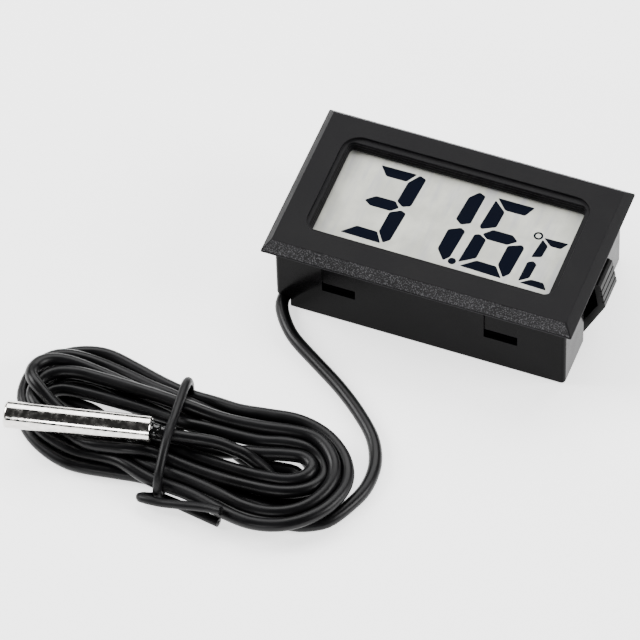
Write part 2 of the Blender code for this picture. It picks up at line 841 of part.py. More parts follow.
def make_board():
    make_layer("circuit_board", BOARD_X, BOARD_Y, BOARD_TOP, BOARD_THICKNESS, FIBREGLASS)
    side_strip = (WELL_X + BOARD_X) / 2  # middle of the free strip beside the wells

    dome = [(0.0, 0.0)]
    for step in range(7):
        angle = math.pi / 2 * step / 6
        dome.append((CHIP_RADIUS * math.cos(angle), -CHIP_HEIGHT * math.sin(angle)))
    dome[-1] = (0.0, -CHIP_HEIGHT)
    blob = turned("chip_blob", dome)
    blob.location = (side_strip, 0, UNDER_BOARD)
    finish(blob, EPOXY, smooth=True)

    crystal = cylinder(
        "crystal_can",
        CRYSTAL_RADIUS,
        -CRYSTAL_LENGTH / 2,
        CRYSTAL_LENGTH / 2,
        segments=16,
    )
    crystal.rotation_euler = (math.pi / 2, 0, 0)
    crystal.location = (-side_strip, CRYSTAL_LENGTH / 2 + GAP, UNDER_BOARD - CRYSTAL_RADIUS)
    finish(crystal, NICKEL, smooth=True)

    step_y = CHIP_RADIUS + CHIP_CLEAR
    small_parts = (
        ("capacitor_upper", side_strip, step_y, CERAMIC),
        ("capacitor_lower", side_strip, -step_y, CERAMIC),
        ("resistor_upper", side_strip, step_y + CHIP_PART_PITCH, EPOXY),
        ("resistor_lower", side_strip, -step_y - CHIP_PART_PITCH, EPOXY),
    )
    for name, x, y, look in small_parts:
        half = CHIP_PART / 2
        centre = Vector((x, y, UNDER_BOARD - half.z))
        finish(box(name, centre - half, centre + half), look)


# ------------------------------------------------------------ cells and contacts


def make_cells():
    """Two button cells in series, one each way up."""
    radius = CELL_RADIUS
    cap = radius - CELL_CAP_IN
    for name, end in (("battery_cell_left", -1), ("battery_cell_right", 1)):
        profile = [
            (0.0, CELL_HEIGHT),
            (cap, CELL_HEIGHT),
            (cap, CELL_HEIGHT - CELL_STEP),
            (radius - CELL_STEP, CELL_HEIGHT - CELL_STEP),
            (radius, CELL_HEIGHT - 2 * CELL_STEP),
            (radius, CELL_STEP / 2),
            (radius - CELL_STEP / 2, 0.0),
            (0.0, 0.0),
        ]
        cell = turned(name, profile, steps=32)
        cell.location = (end * CELL_X, 0, CELL_BOTTOM)
        if end < 0:
            cell.rotation_euler.x = math.pi
            cell.location.z = CELL_TOP
        finish(cell, STEEL, smooth=True)


def make_contacts():
    top = CONTACT_BOTTOM + CONTACT_THICKNESS
    for name, end in (("contact_positive", -1), ("contact_negative", 1)):
        xs = sorted((end * CELL_X / 3, end * (CELL_X + CELL_RADIUS)))
        strip = box(
            name,
            (xs[0], -CONTACT_WIDTH / 2, CONTACT_BOTTOM),
            (xs[1], CONTACT_WIDTH / 2, top),
        )
        finish(strip, NICKEL)
    bridge = box(
        "contact_bridge",
        (-CELL_X - CELL_RADIUS / 2, -CONTACT_WIDTH / 2, BRIDGE_BOTTOM),
        (CELL_X + CELL_RADIUS / 2, CONTACT_WIDTH / 2, BRIDGE_BOTTOM + CONTACT_THICKNESS),
    )
    finish(bridge, NICKEL)


# ------------------------------------------------------------- cord and its ends


def make_lead(route):
    finish(tube("cord_lead", route, CORD_RADIUS), PVC)
    along = (route[1] - route[0]).normalized()
    anchor = cylinder(
        "cord_anchor",
        ANCHOR_DIAMETER / 2,
        -ANCHOR_LENGTH / 2,
        ANCHOR_LENGTH / 2,
        segments=20,
    )
    anchor.rotation_mode = "QUATERNION"
    anchor.rotation_quaternion = Vector((0, 0, 1)).rotation_difference(along)
    anchor.location = route[0] + along * (ANCHOR_LENGTH / 2 + GAP)
    cut(anchor, to_mesh(tube("anchor_way", route, CORD_RADIUS + GAP)))
    finish(anchor, GLUE, smooth=True)
    for name, side, look in (("conductor_red", 1, RED_PVC), ("conductor_black", -1, PVC)):
        start = route[0] + Vector((0, side * CONDUCTOR_APART / 2, 0))
        pad_y = route[0].y + side * PAD_APART / 2
        pad = Vector((-BOARD_X + PAD_IN, pad_y, UNDER_BOARD))
        middle = (start + CONDUCTOR_RISE).lerp(pad, 0.5)
        points = [start + CONDUCTOR_RISE, middle, pad]
        wire = tube(name, smooth_route(points, CONDUCTOR_DIAMETER), CONDUCTOR_DIAMETER / 2)
        finish(wire, look)


def hank_outline():
    """Two round ends joined by sides that draw in to a waist under the tie."""
    points = []
    steps = 12
    for end in (1, -1):
        for step in range(steps + 1):
            angle = math.pi * (step / steps - end / 2)
            x = end * HANK_STRAIGHT + HANK_END_RADIUS * math.cos(angle)
            points.append((x, HANK_END_RADIUS * math.sin(angle)))
        for step in range(1, steps):
            share = step / steps
            draw_in = (HANK_END_RADIUS - HANK_WAIST) * math.sin(math.pi * share) ** 2
            x = end * HANK_STRAIGHT * (1 - 2 * share)
            points.append((x, end * (HANK_END_RADIUS - draw_in)))
    return points


def make_hank(lead_route, tail_route):
    hank = plate("cord_hank", hank_outline(), HANK_THICKNESS)
    hank.location = CORNER + HANK_CENTRE + Vector((0, 0, HANK_THICKNESS / 2))
    hank = to_mesh(hank)

    room = CORD_RADIUS + 2 * GAP
    lead_end = lead_route[-1]
    lead_pocket = box(
        "lead_pocket",
        (lead_end.x - GAP, lead_end.y - room, -BEYOND),
        (lead_end.x + 3 * BEYOND, lead_end.y + room, lead_end.z + CORD_RADIUS + GAP),
    )
    tail_end = tail_route[-1]
    tail_pocket = box(
        "tail_pocket",
        (tail_end.x - 2 * BEYOND, tail_end.y - room, tail_end.z - CORD_RADIUS - GAP),
        (tail_end.x + GAP, tail_end.y + room, HANK_THICKNESS + BEYOND),
    )
    groove = box(
        "tie_groove",
        (-2 * HANK_END_RADIUS, -TIE_RADIUS - GAP, -BEYOND),
        (2 * HANK_END_RADIUS, TIE_RADIUS + GAP, TIE_BED + TIE_RADIUS + GAP),
    )
    groove.rotation_euler.z = TIE_TURN
    groove.location += CORNER + TIE_CENTRE
    cut(hank, lead_pocket, tail_pocket, groove)
    finish(hank, PVC)


def make_tie():
    turn = Matrix.Rotation(TIE_TURN, 3, "Z")
    middle = CORNER + TIE_CENTRE
    points = []
    for along, across, height in TIE_POINTS:
        points.append(middle + turn @ (Vector((along, -across, height)) * MM))
    finish(tube("hank_tie", smooth_route(points, TIE_SPACING), TIE_RADIUS), PVC)


def make_probe():
    """A closed-end steel sleeve over the sensor, sealed where the cord goes in."""
    frame = bpy.data.objects.new("probe_frame", None)
    PARTS.objects.link(frame)
    frame.location = CORNER + PROBE_MOUTH + Vector((0, 0, PROBE_Z))
    # local +Z runs out of the sleeve's open end
    frame.rotation_euler = (0, math.pi / 2, PROBE_TURN)

    outer = PROBE_RADIUS
    inner = PROBE_RADIUS - PROBE_WALL
    nose = -PROBE_LENGTH
    profile = [(0.0, nose + PROBE_WALL), (inner, nose + PROBE_WALL)]
    profile += [(inner, 0.0), (outer, 0.0)]
    for step in range(4):
        angle = math.pi / 2 * step / 3
        profile.append(
            (
                outer - PROBE_NOSE + PROBE_NOSE * math.cos(angle),
                nose + PROBE_NOSE - PROBE_NOSE * math.sin(angle),
            )
        )
    profile.append((0.0, nose))
    sleeve = turned("probe_sleeve", profile, steps=24)
    sleeve.parent = frame
    finish(sleeve, STEEL, smooth=True)

    plug_top = -PLUG_RECESS
    plug_bottom = plug_top - PLUG_LENGTH
    plug = turned(
        "probe_sealant",
        [
            (CORD_RADIUS + GAP, plug_top),
            (inner - GAP / 2, plug_top),
            (inner - GAP / 2, plug_bottom),
            (CORD_RADIUS + GAP, plug_bottom),
            (CORD_RADIUS + GAP, plug_top),
        ],
        steps=20,
    )
    plug.parent = frame
    finish(plug, EPOXY, smooth=True)

    bead_z = nose + PROBE_WALL + GAP + BEAD_RADIUS
    shape = bmesh.new()
    bmesh.ops.create_uvsphere(shape, u_segments=14, v_segments=8, radius=BEAD_RADIUS)
    mesh = bpy.data.meshes.new("thermistor_bead")
    shape.to_mesh(mesh)
    shape.free()
    bead = object_from("thermistor_bead", mesh, (0, 0, bead_z))
    bead.parent = frame
    finish(bead, EPOXY, smooth=True)

    leg_low = bead_z + BEAD_RADIUS + GAP
    leg_high = -CORD_IN_PROBE - GAP
    for name, side in (("thermistor_leg_a", 1), ("thermistor_leg_b", -1)):
        x = side * BEAD_RADIUS / 2
        leg = cylinder(name, LEG_DIAMETER / 2, leg_low, leg_high, (x, 0), segments=10)
        leg.parent = frame
        finish(leg, COPPER, smooth=True)


# ------------------------------------------------------------------------ build

lead = smooth_route(from_corner(LEAD_POINTS), CORD_SPACING)
tail = smooth_route(from_corner(TAIL_POINTS), CORD_SPACING / 2)

make_front_bezel()
make_display()
make_board()
make_rear_housing(lead)
make_side_clip("side_clip_left", -1)
make_side_clip("side_clip_right", 1)
make_battery_cover()
make_cells()
make_contacts()
make_lead(lead)
finish(tube("cord_tail", tail, CORD_RADIUS), PVC)
make_hank(lead, tail)
make_tie()
make_probe()
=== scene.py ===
# %% [markdown]
# # A panel thermometer and its tied hank of cord
#
# The instrument lies on its back on a table.  A thin black cord leaves one corner
# and is wound into a small hank, and a steel probe on its far end lies on top.
# Each step below first says what the real piece is and why it is made this way.

import math

import bmesh
import bpy
import numpy as np
from mathutils import Matrix, Vector


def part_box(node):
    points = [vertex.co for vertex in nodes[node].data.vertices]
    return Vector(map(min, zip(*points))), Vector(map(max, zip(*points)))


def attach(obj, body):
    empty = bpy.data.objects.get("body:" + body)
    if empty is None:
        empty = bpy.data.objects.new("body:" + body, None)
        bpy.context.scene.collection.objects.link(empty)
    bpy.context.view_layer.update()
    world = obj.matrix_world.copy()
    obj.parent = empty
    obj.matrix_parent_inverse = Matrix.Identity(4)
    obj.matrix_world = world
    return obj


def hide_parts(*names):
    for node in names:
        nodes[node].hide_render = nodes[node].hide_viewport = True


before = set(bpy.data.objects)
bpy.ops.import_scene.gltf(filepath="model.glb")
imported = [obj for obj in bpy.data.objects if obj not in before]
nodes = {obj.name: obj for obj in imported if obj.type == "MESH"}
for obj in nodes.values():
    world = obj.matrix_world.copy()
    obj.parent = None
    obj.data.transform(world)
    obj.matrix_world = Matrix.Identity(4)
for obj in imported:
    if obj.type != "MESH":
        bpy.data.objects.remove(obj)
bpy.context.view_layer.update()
MM = 0.001
print("pieces in the frame:", len(nodes))

# %% [markdown]
# ## The camera
#
# The camera stands well back with a long lens, so that the flange keeps nearly
# parallel edges.  Its place and its three axes are given as one matrix.

# %% Place the camera
CAMERA_PLACE = Vector((186.226, -502.825, 678.681)) * MM
CAMERA_TILT = -0.662274
CAMERA_ROLL = 0.034733
CAMERA_YAW = -0.390652
CAMERA_LENS = 328.2


def linked(name, data):
    """A new object for the data, put in the scene."""
    made = bpy.data.objects.new(name, data)
    bpy.context.scene.collection.objects.link(made)
    return made


def make_camera():
    camera_data = bpy.data.cameras.new("camera")
    camera_data.lens = CAMERA_LENS
    camera_data.sensor_width = 36.0
    camera_data.clip_start, camera_data.clip_end = 0.05, 10.0
    camera = linked("camera", camera_data)
    to_camera = (
        Matrix.Rotation(CAMERA_ROLL, 3, "Z")
        @ Matrix.Rotation(CAMERA_TILT, 3, "X")
        @ Matrix.Rotation(CAMERA_YAW, 3, "Z")
    )
    camera.matrix_world = Matrix.Translation(CAMERA_PLACE) @ to_camera.inverted().to_4x4()
    bpy.context.scene.camera = camera
    return camera


camera = make_camera()
print("camera stands", round(camera.location.length, 3), "m away")

# %% [markdown]
# ## Small helpers
#
# Most pieces end in the same way: a mesh at the origin, one material, a body to
# ride on, and the names of the plain pieces that it stands for.

# %% Helpers that finish a piece
SHARP_ANGLE, ROUNDED_ANGLE, FLAT_ANGLE = (math.radians(a) for a in (32, 35, 0.8))
WELD = 0.002 * MM


def link(name, mesh, look, smooth=True):
    """A new object for the mesh, with its material, at the origin."""
    if look is not None:
        mesh.materials.clear()
        mesh.materials.append(look)
    if smooth:
        mesh.polygons.foreach_set("use_smooth", [True] * len(mesh.polygons))
        mesh.set_sharp_from_angle(angle=SHARP_ANGLE)
    return linked(name, mesh)


def place(piece, body, slot, *replaced):
    """Puts the piece on the body that it rides and hides what it replaces; slot, the finish it
    takes, is not used.
    """
    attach(piece, body)
    if replaced:
        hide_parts(*replaced)
    return piece


def mesh_from(shape, name):
    """Closes a bmesh job: faces turned outwards, then written to a mesh."""
    bmesh.ops.recalc_face_normals(shape, faces=shape.faces)
    mesh = bpy.data.meshes.new(name)
    shape.to_mesh(mesh)
    shape.free()
    return mesh


def prism(shape, outline, low, high):
    """A closed prism over an outline, which runs anticlockwise seen from above."""
    bottom = [shape.verts.new((x, y, low)) for x, y in outline]
    top = [shape.verts.new((x, y, high)) for x, y in outline]
    shape.faces.new(top)
    shape.faces.new(bottom[::-1])
    for n in range(len(outline)):
        m = (n + 1) % len(outline)
        shape.faces.new((bottom[n], bottom[m], top[m], top[n]))


def skin(shape, first, second):
    """The faces between two rings that have the same number of corners."""
    after = [(k + 1) % len(first) for k in range(len(first))]
    return [
        shape.faces.new((first[k], first[m], second[m], second[k])) for k, m in enumerate(after)
    ]


def between(shape, near, far, index):
    """A closed solid between two outlines in millimetres, all of one material."""
    low = [shape.verts.new(Vector(point) * MM) for point in near]
    high = [shape.verts.new(Vector(point) * MM) for point in far]
    faces = [shape.faces.new(low), shape.faces.new(high[::-1])]
    for n in range(len(low)):
        m = (n + 1) % len(low)
        faces.append(shape.faces.new((low[n], high[n], high[m], low[m])))
    for face in faces:
        face.material_index = index


def box_of(node):
    """The low and high corner of a plain piece."""
    return (Vector(corner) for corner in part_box(node))


def even_shading(piece):
    """Keeps the large faces flat beside their small rounded edges."""
    normals = piece.modifiers.new("normals", "WEIGHTED_NORMAL")
    normals.keep_sharp = True
    return piece


def softened(node, name, look, width, segments=2):
    """A copy of a plain piece with every sharp edge rounded by the same width."""
    shape = bmesh.new()
    shape.from_mesh(nodes[node].data)
    bmesh.ops.remove_doubles(shape, verts=shape.verts, dist=WELD)
    bmesh.ops.dissolve_limit(
        shape, angle_limit=FLAT_ANGLE, verts=shape.verts, edges=shape.edges
    )
    mesh = bpy.data.meshes.new(name)
    shape.to_mesh(mesh)
    shape.free()
    piece = link(name, mesh, look)
    rounding = piece.modifiers.new("rounding", "BEVEL")
    rounding.width = width
    rounding.segments = segments
    rounding.limit_method = "ANGLE"
    rounding.angle_limit = ROUNDED_ANGLE
    rounding.use_clamp_overlap = True
    return even_shading(piece)


def turned(name, profile, look, steps=64, to_world=None):
    """A closed turned shape: (radius, height) pairs swept round Z, then placed."""
    shape = bmesh.new()
    rings = []
    for radius, height in profile:
        if radius < 1e-9:
            rings.append([shape.verts.new((0, 0, height))] * steps)
            continue
        angles = [2 * math.pi * n / steps for n in range(steps)]
        rings.append(
            [shape.verts.new((radius * math.cos(t), radius * math.sin(t), height)) for t in angles]
        )
    for lower, upper in zip(rings, rings[1:]):
        for n in range(steps):
            m = (n + 1) % steps
            corners = [lower[n], lower[m], upper[m], upper[n]]
            unique = list(dict.fromkeys(corners))
            if len(unique) > 2:
                shape.faces.new(unique)
    if to_world is not None:
        bmesh.ops.transform(shape, matrix=to_world, verts=shape.verts)
    return link(name, mesh_from(shape, name), look)


print("helpers ready")

# %% [markdown]
# ## Effects shared by several finishes
#
# Moulded plastic shows the same few things everywhere: a fine grain from the
# mould, a few specks of dust, and edges that are rubbed a little brighter.  Each
# is a node group that gives a height or a mask, so every material can use it
# with its own values.  The grain's group also gives a mask of painted glints:
# lighter cells that stand for the light which the grain catches.


# %% Node groups for grain with painted glints, dust and rubbed edges
class Nodes:
    """Adds nodes to a tree and links them, to keep the cells below short."""

    def __init__(self, tree):
        self.tree = tree

    def add(self, kind, settings=None, **inputs):
        node = self.tree.nodes.new(kind)
        for key, value in (settings or {}).items():
            setattr(node, key, value)
        for key, value in inputs.items():
            self.feed(node, key.replace("_", " "), value)
        return node

    def feed(self, node, name, value):
        socket = node.inputs[name]
        if isinstance(value, bpy.types.NodeSocket):
            self.tree.links.new(value, socket)
        else:
            socket.default_value = value


def new_group(name, inputs, outputs):
    group = bpy.data.node_groups.new(name, "ShaderNodeTree")
    for label, value in inputs.items():
        socket = group.interface.new_socket(
            label, in_out="INPUT", socket_type="NodeSocketFloat"
        )
        socket.default_value = value
    for label in outputs:
        group.interface.new_socket(label, in_out="OUTPUT", socket_type="NodeSocketFloat")
    make = Nodes(group)
    return group, make, make.add("NodeGroupInput"), make.add("NodeGroupOutput")


def ranged(make, value, low, high, to_low=0.0, to_high=1.0):
    node = make.add("ShaderNodeMapRange", {"interpolation_type": "SMOOTHSTEP"})
    for name, given in (
        ("Value", value),
        ("From Min", low),
        ("From Max", high),
        ("To Min", to_low),
        ("To Max", to_high),
    ):
        make.feed(node, name, given)
    return node.outputs["Result"]


def times(make, first, second):
    node = make.add("ShaderNodeMath", {"operation": "MULTIPLY"})
    make.feed(node, 0, first)
    make.feed(node, 1, second)
    return node.outputs[0]


def grain_and_glint_group():
    group, make, given, out = new_group(
        "moulded_grain_and_glint", {"Scale": 4000.0}, ("Height", "Painted Glint")
    )
    where = make.add("ShaderNodeTexCoord").outputs["Object"]
    fine = make.add(
        "ShaderNodeTexNoise", Vector=where, Scale=given.outputs["Scale"], Detail=2.0
    )
    half = times(make, given.outputs["Scale"], 0.55)
    cells = make.add("ShaderNodeTexNoise", Vector=where, Scale=half, Detail=1.0)
    make.feed(out, "Height", fine.outputs["Fac"])
    make.feed(out, "Painted Glint", ranged(make, cells.outputs["Fac"], 0.5, 0.68))
    return group


def dust_group():
    group, make, given, out = new_group(
        "dust_specks", {"Scale": 700.0, "Amount": 0.05, "Size": 0.09}, ("Mask",)
    )
    where = make.add("ShaderNodeTexCoord").outputs["Object"]
    cells = make.add("ShaderNodeTexVoronoi", Vector=where, Scale=given.outputs["Scale"])
    split = make.add("ShaderNodeSeparateColor", Color=cells.outputs["Color"])
    chosen = make.add("ShaderNodeMath", {"operation": "LESS_THAN"})
    make.feed(chosen, 0, split.outputs["Red"])
    make.feed(chosen, 1, given.outputs["Amount"])
    near = make.add("ShaderNodeMath", {"operation": "LESS_THAN"})
    size = times(make, given.outputs["Size"], split.outputs["Green"])
    make.feed(near, 0, cells.outputs["Distance"])
    make.feed(near, 1, size)
    make.feed(out, "Mask", times(make, chosen.outputs[0], near.outputs[0]))
    return group


def wear_group():
    group, make, given, out = new_group(
        "rubbed_edges", {"Radius": 0.0001, "Scale": 900.0}, ("Mask",)
    )
    bevel = make.add("ShaderNodeBevel", {"samples": 4}, Radius=given.outputs["Radius"])
    true_normal = make.add("ShaderNodeNewGeometry").outputs["Normal"]
    dot = make.add("ShaderNodeVectorMath", {"operation": "DOT_PRODUCT"})
    make.feed(dot, 0, bevel.outputs["Normal"])
    make.feed(dot, 1, true_normal)
    edge = ranged(make, dot.outputs["Value"], 0.99, 0.9)
    where = make.add("ShaderNodeTexCoord").outputs["Object"]
    patchy = make.add(
        "ShaderNodeTexNoise", Vector=where, Scale=given.outputs["Scale"], Detail=3.0
    )
    make.feed(out, "Mask", times(make, edge, ranged(make, patchy.outputs["Fac"], 0.35, 0.7)))
    return group


GRAIN_AND_GLINT, DUST, WEAR = grain_and_glint_group(), dust_group(), wear_group()
print("node groups:", GRAIN_AND_GLINT.name, DUST.name, WEAR.name)

# %% [markdown]
# ## The finishes
#
# One function builds every opaque finish: a base colour that drifts a little, the
# shared effects, and a bump from the grain.  Dust and rubbed edges take the
# strength that the real material shows; the glints are painted highlights.  The
# colours of the black plastics are very low because the table is nearly white and
# even a weak sheen lifts them.  The chamfer's black is a lighter copy of the face's
# black with painted glints: painted light on its coarse grain.


# %% Build a finish from the shared effects
# The first grey is a painted glint, a highlight on the grain; the dust and rubbed greys are real
# marks.
PAINTED_GLINT_GREY, DUST_GREY, RUBBED_GREY = (0.22, 0.22, 0.23), (0.16, 0.16, 0.16), (0.12, 0.12, 0.125)


def new_look(name):
    """A new material, its nodes and its Principled shader."""
    look = bpy.data.materials.new(name)
    look.use_nodes = True
    return look, Nodes(look.node_tree), look.node_tree.nodes["Principled BSDF"]


def colour_mix(make, factor, first, second):
    node = make.add("ShaderNodeMix", {"data_type": "RGBA"})
    for name, value in ((0, factor), (6, first), (7, second)):
        value = (*value, 1.0) if isinstance(value, tuple) and len(value) == 3 else value
        make.feed(node, name, value)
    return node.outputs[2]


def grouped(make, group, **values):
    node = make.add("ShaderNodeGroup", {"node_tree": group})
    for name, value in values.items():
        make.feed(node, name, value)
    return node


def finish_look(
    name,
    colour,
    roughness,
    metallic=0.0,
    specular=0.18,
    drift=0.3,
    drift_scale=160.0,
    stretch=(1.0, 1.0, 1.0),
    grain=(4000.0, 0.0),
    painted_glint_strength=0.0,
    dust=0.0,
    wear=0.0,
    roughness_drift=0.06,
):
    """A Principled material; stretch squeezes the drift pattern into streaks, and a glint strength
    mixes painted highlights into the grain's lighter cells.
    """
    look, make, shader = new_look(name)
    where = make.add("ShaderNodeTexCoord").outputs["Object"]
    moved = make.add("ShaderNodeMapping", Vector=where, Scale=stretch)
    cloud = make.add(
        "ShaderNodeTexNoise", Vector=moved.outputs[0], Scale=drift_scale, Detail=4.0
    )
    shade = ranged(make, cloud.outputs["Fac"], 0.3, 0.7)
    darker = tuple(c * (1 - drift) for c in colour)
    lighter = tuple(min(c * (1 + drift), 1.0) for c in colour)
    base = colour_mix(make, shade, darker, lighter)
    if grain[1] > 0 or painted_glint_strength > 0:
        texture = grouped(make, GRAIN_AND_GLINT, Scale=grain[0])
        bump = make.add("ShaderNodeBump", Height=texture.outputs["Height"])
        bump.inputs["Strength"].default_value = min(grain[1], 1.0)
        bump.inputs["Distance"].default_value = 0.05 * MM
        make.feed(shader, "Normal", bump.outputs[0])
        # Painted glints: the grain's lighter cells are mixed towards a light grey that stands for
        # light caught by the grain.
        if painted_glint_strength > 0:
            painted_glint_mask = times(make, texture.outputs["Painted Glint"], painted_glint_strength)
            base = colour_mix(make, painted_glint_mask, base, PAINTED_GLINT_GREY)
    if dust > 0:
        specks = grouped(make, DUST, Amount=dust)
        base = colour_mix(make, specks.outputs["Mask"], base, DUST_GREY)
    if wear > 0:
        rubbed = times(make, grouped(make, WEAR).outputs["Mask"], wear)
        base = colour_mix(make, rubbed, base, RUBBED_GREY)
    make.feed(shader, "Base Color", base)
    rough = ranged(
        make,
        cloud.outputs["Fac"],
        0.3,
        0.7,
        max(roughness - roughness_drift, 0.02),
        min(roughness + roughness_drift, 1.0),
    )
    make.feed(shader, "Roughness", rough)
    shader.inputs["Metallic"].default_value = metallic
    shader.inputs["Specular IOR Level"].default_value = specular
    return look


FINISHES = (
    ("face_black", (0.0046, 0.0044, 0.005), 0.55,
     dict(specular=0.085, grain=(9000.0, 0.35), dust=0.09, wear=0.12)),
    # The chamfer's black: a lighter copy of the face's black with painted glints, painted light on
    # its grain.
    ("chamfer_black_painted_light", (0.0105, 0.0101, 0.011), 0.5,
     dict(grain=(11000.0, 1.0), painted_glint_strength=0.3, dust=0.05)),
    ("glossy_black", (0.0018, 0.0017, 0.0019), 0.18,
     dict(specular=0.03, drift=0.15, grain=(1500.0, 0.03), dust=0.02, wear=0.05)),
    ("clip_black", (0.0012, 0.0012, 0.0013), 0.36, dict(specular=0.1, grain=(6000.0, 0.1))),
    # A black without gloss: painted shade in the pockets and on the clip webs; the hidden snap
    # tongues use it too.
    ("painted_shade_black", (0.0006, 0.0006, 0.0006), 0.8, dict(specular=0.0)),
    ("cord_black", (0.0022, 0.0021, 0.0025), 0.36,
     dict(specular=0.16, grain=(1900.0, 0.1), dust=0.03)),
    ("tie_black", (0.0022, 0.0021, 0.0025), 0.42,
     dict(specular=0.15, grain=(2300.0, 0.25), dust=0.03)),
    ("steel", (0.68, 0.66, 0.63), 0.13,
     dict(metallic=1.0, specular=0.5, drift=0.16, drift_scale=1500.0, grain=(1300.0, 0.1),
          roughness_drift=0.08)),
    ("nickel", (0.62, 0.6, 0.55), 0.25,
     dict(metallic=1.0, specular=0.5, drift=0.12, grain=(2500.0, 0.06))),
    ("copper", (0.62, 0.42, 0.3), 0.3, dict(metallic=1.0, specular=0.5, drift=0.15)),
    ("zebra", (0.32, 0.29, 0.26), 0.7, dict(drift=0.15, grain=(3000.0, 0.2))),
    ("carbon", (0.02, 0.02, 0.02), 0.8, dict(drift=0.2)),
    ("epoxy", (0.006, 0.006, 0.006), 0.16, dict(specular=0.4, grain=(700.0, 0.2))),
    ("ceramic", (0.3, 0.2, 0.12), 0.6, dict(drift=0.2, grain=(3000.0, 0.15))),
    ("glue", (0.42, 0.38, 0.28), 0.22, dict(specular=0.4, drift=0.25, grain=(600.0, 0.5))),
    ("red_insulation", (0.36, 0.018, 0.014), 0.4, dict(drift=0.12, grain=(2000.0, 0.1))),
    ("segment", (0.0011, 0.0022, 0.0065), 0.6, dict(specular=0.02, drift=0.12)),
    ("reflector", (0.42, 0.43, 0.4), 0.6, dict(drift=0.06, grain=(3000.0, 0.1))),
)
LOOKS = {
    name: finish_look(name, colour, roughness, **extra)
    for name, colour, roughness, extra in FINISHES
}
print("finishes:", len(LOOKS))

# %% [markdown]
# The display film is a pale greenish grey with faint wiping marks.  Two stretched
# noises, turned against each other, give streaks that never repeat, and a soft
# cloud gives the smudges.  The glass behind it is clear, so it keeps a plain
# Transmission value.


# %% Display film, clear glass and board
def film_look():
    look, make, shader = new_look("display")
    where = make.add("ShaderNodeTexCoord").outputs["Object"]
    cloud = make.add("ShaderNodeTexNoise", Vector=where, Scale=230.0, Detail=5.0)
    base = colour_mix(
        make,
        ranged(make, cloud.outputs["Fac"], 0.35, 0.68),
        FILM_LOW,
        FILM_HIGH,
    )
    for angle, size in ((0.5, 520.0), (-0.9, 700.0)):
        turn = make.add("ShaderNodeMapping", Vector=where, Rotation=(0.0, 0.0, angle))
        turn.inputs["Scale"].default_value = (1.0, 0.12, 1.0)
        streak = make.add(
            "ShaderNodeTexNoise", Vector=turn.outputs[0], Scale=size, Detail=3.0
        )
        mark = ranged(make, streak.outputs["Fac"], 0.5, 0.75, 0.0, 0.55)
        base = colour_mix(make, mark, base, FILM_SMEAR)
    make.feed(shader, "Base Color", base)
    make.feed(shader, "Roughness", ranged(make, cloud.outputs["Fac"], 0.3, 0.7, 0.36, 0.5))
    shader.inputs["Specular IOR Level"].default_value = 0.08
    return look


def glass_look():
    look, make, shader = new_look("glass")
    where = make.add("ShaderNodeTexCoord").outputs["Object"]
    haze = make.add("ShaderNodeTexNoise", Vector=where, Scale=300.0, Detail=3.0)
    make.feed(shader, "Roughness", ranged(make, haze.outputs["Fac"], 0.3, 0.7, 0.02, 0.08))
    shader.inputs["Base Color"].default_value = (0.86, 0.92, 0.88, 1.0)
    shader.inputs["Transmission Weight"].default_value = 0.9
    shader.inputs["IOR"].default_value = 1.5
    return look


def board_look():
    look = finish_look("board", (0.012, 0.095, 0.035), 0.35, specular=0.4, drift=0.15)
    make = Nodes(look.node_tree)
    shader = look.node_tree.nodes["Principled BSDF"]
    base = shader.inputs["Base Color"].links[0].from_socket
    where = make.add("ShaderNodeTexCoord").outputs["Object"]
    weave = make.add("ShaderNodeTexChecker", Vector=where, Scale=900.0)
    weave.inputs["Color1"].default_value = (0.02, 0.13, 0.05, 1)
    weave.inputs["Color2"].default_value = (0.01, 0.08, 0.03, 1)
    make.feed(shader, "Base Color", colour_mix(make, 0.35, base, weave.outputs["Color"]))
    return look


FILM_LOW, FILM_HIGH = (0.42, 0.425, 0.38), (0.53, 0.535, 0.48)
FILM_SMEAR = (0.33, 0.33, 0.37)
LOOKS["display"] = film_look()
LOOKS["glass"] = glass_look()
LOOKS["board"] = board_look()
print("finishes with the display, glass and board:", len(LOOKS))

# %% [markdown]
# ## The front frame
#
# The frame is one moulding: a thin upright lip, a wide chamfer with a coarse
# grain, a flat face, and a stepped opening with fine lines round its wall.  The long
# chamfer strips take a lighter copy of the face's black with painted glints, as
# painted light on the grain.  Every section through it is a rounded rectangle, so it
# is built as a closed chain of such rings.  That gives exact control of each small edge.

# %% Ring by ring round the window
CORNER_STEPS = 8
# half length, half height, corner radius and height of each ring, in millimetres
FRAME_RINGS = (
    (18.30, 8.30, 0.60, 13.47),
    (18.30, 8.30, 0.60, 13.80),
    (18.42, 8.44, 0.72, 13.82),
    (18.42, 8.44, 0.72, 14.16),
    (18.54, 8.58, 0.84, 14.18),
    (18.54, 8.58, 0.84, 14.52),
    (18.66, 8.72, 0.96, 14.54),
    (18.66, 8.72, 0.96, 14.74),
    (18.74, 8.80, 1.04, 14.80),
    (19.27, 9.62, 2.77, 14.80),
    (19.33, 9.68, 2.83, 14.83),
    (19.35, 9.70, 2.85, 14.90),
    (19.35, 9.70, 2.85, 15.12),
    (19.38, 9.73, 2.88, 15.18),
    (19.44, 9.79, 2.94, 15.20),
    (22.71, 12.87, 0.20, 15.20),
    (22.79, 12.95, 0.24, 15.16),
    (23.94, 14.23, 0.20, 13.77),
    (24.00, 14.30, 0.22, 13.66),
    (24.00, 14.30, 0.22, 13.44),
    (23.93, 14.23, 0.18, 13.37),
    (22.85, 12.87, 0.60, 13.37),
    (22.85, 12.87, 0.60, 13.47),
)
# The long sides of the strip below this ring take painted light: a lighter black with painted
# glints.
CHAMFER_RING = 16  # the strip below this ring takes the coarse grain


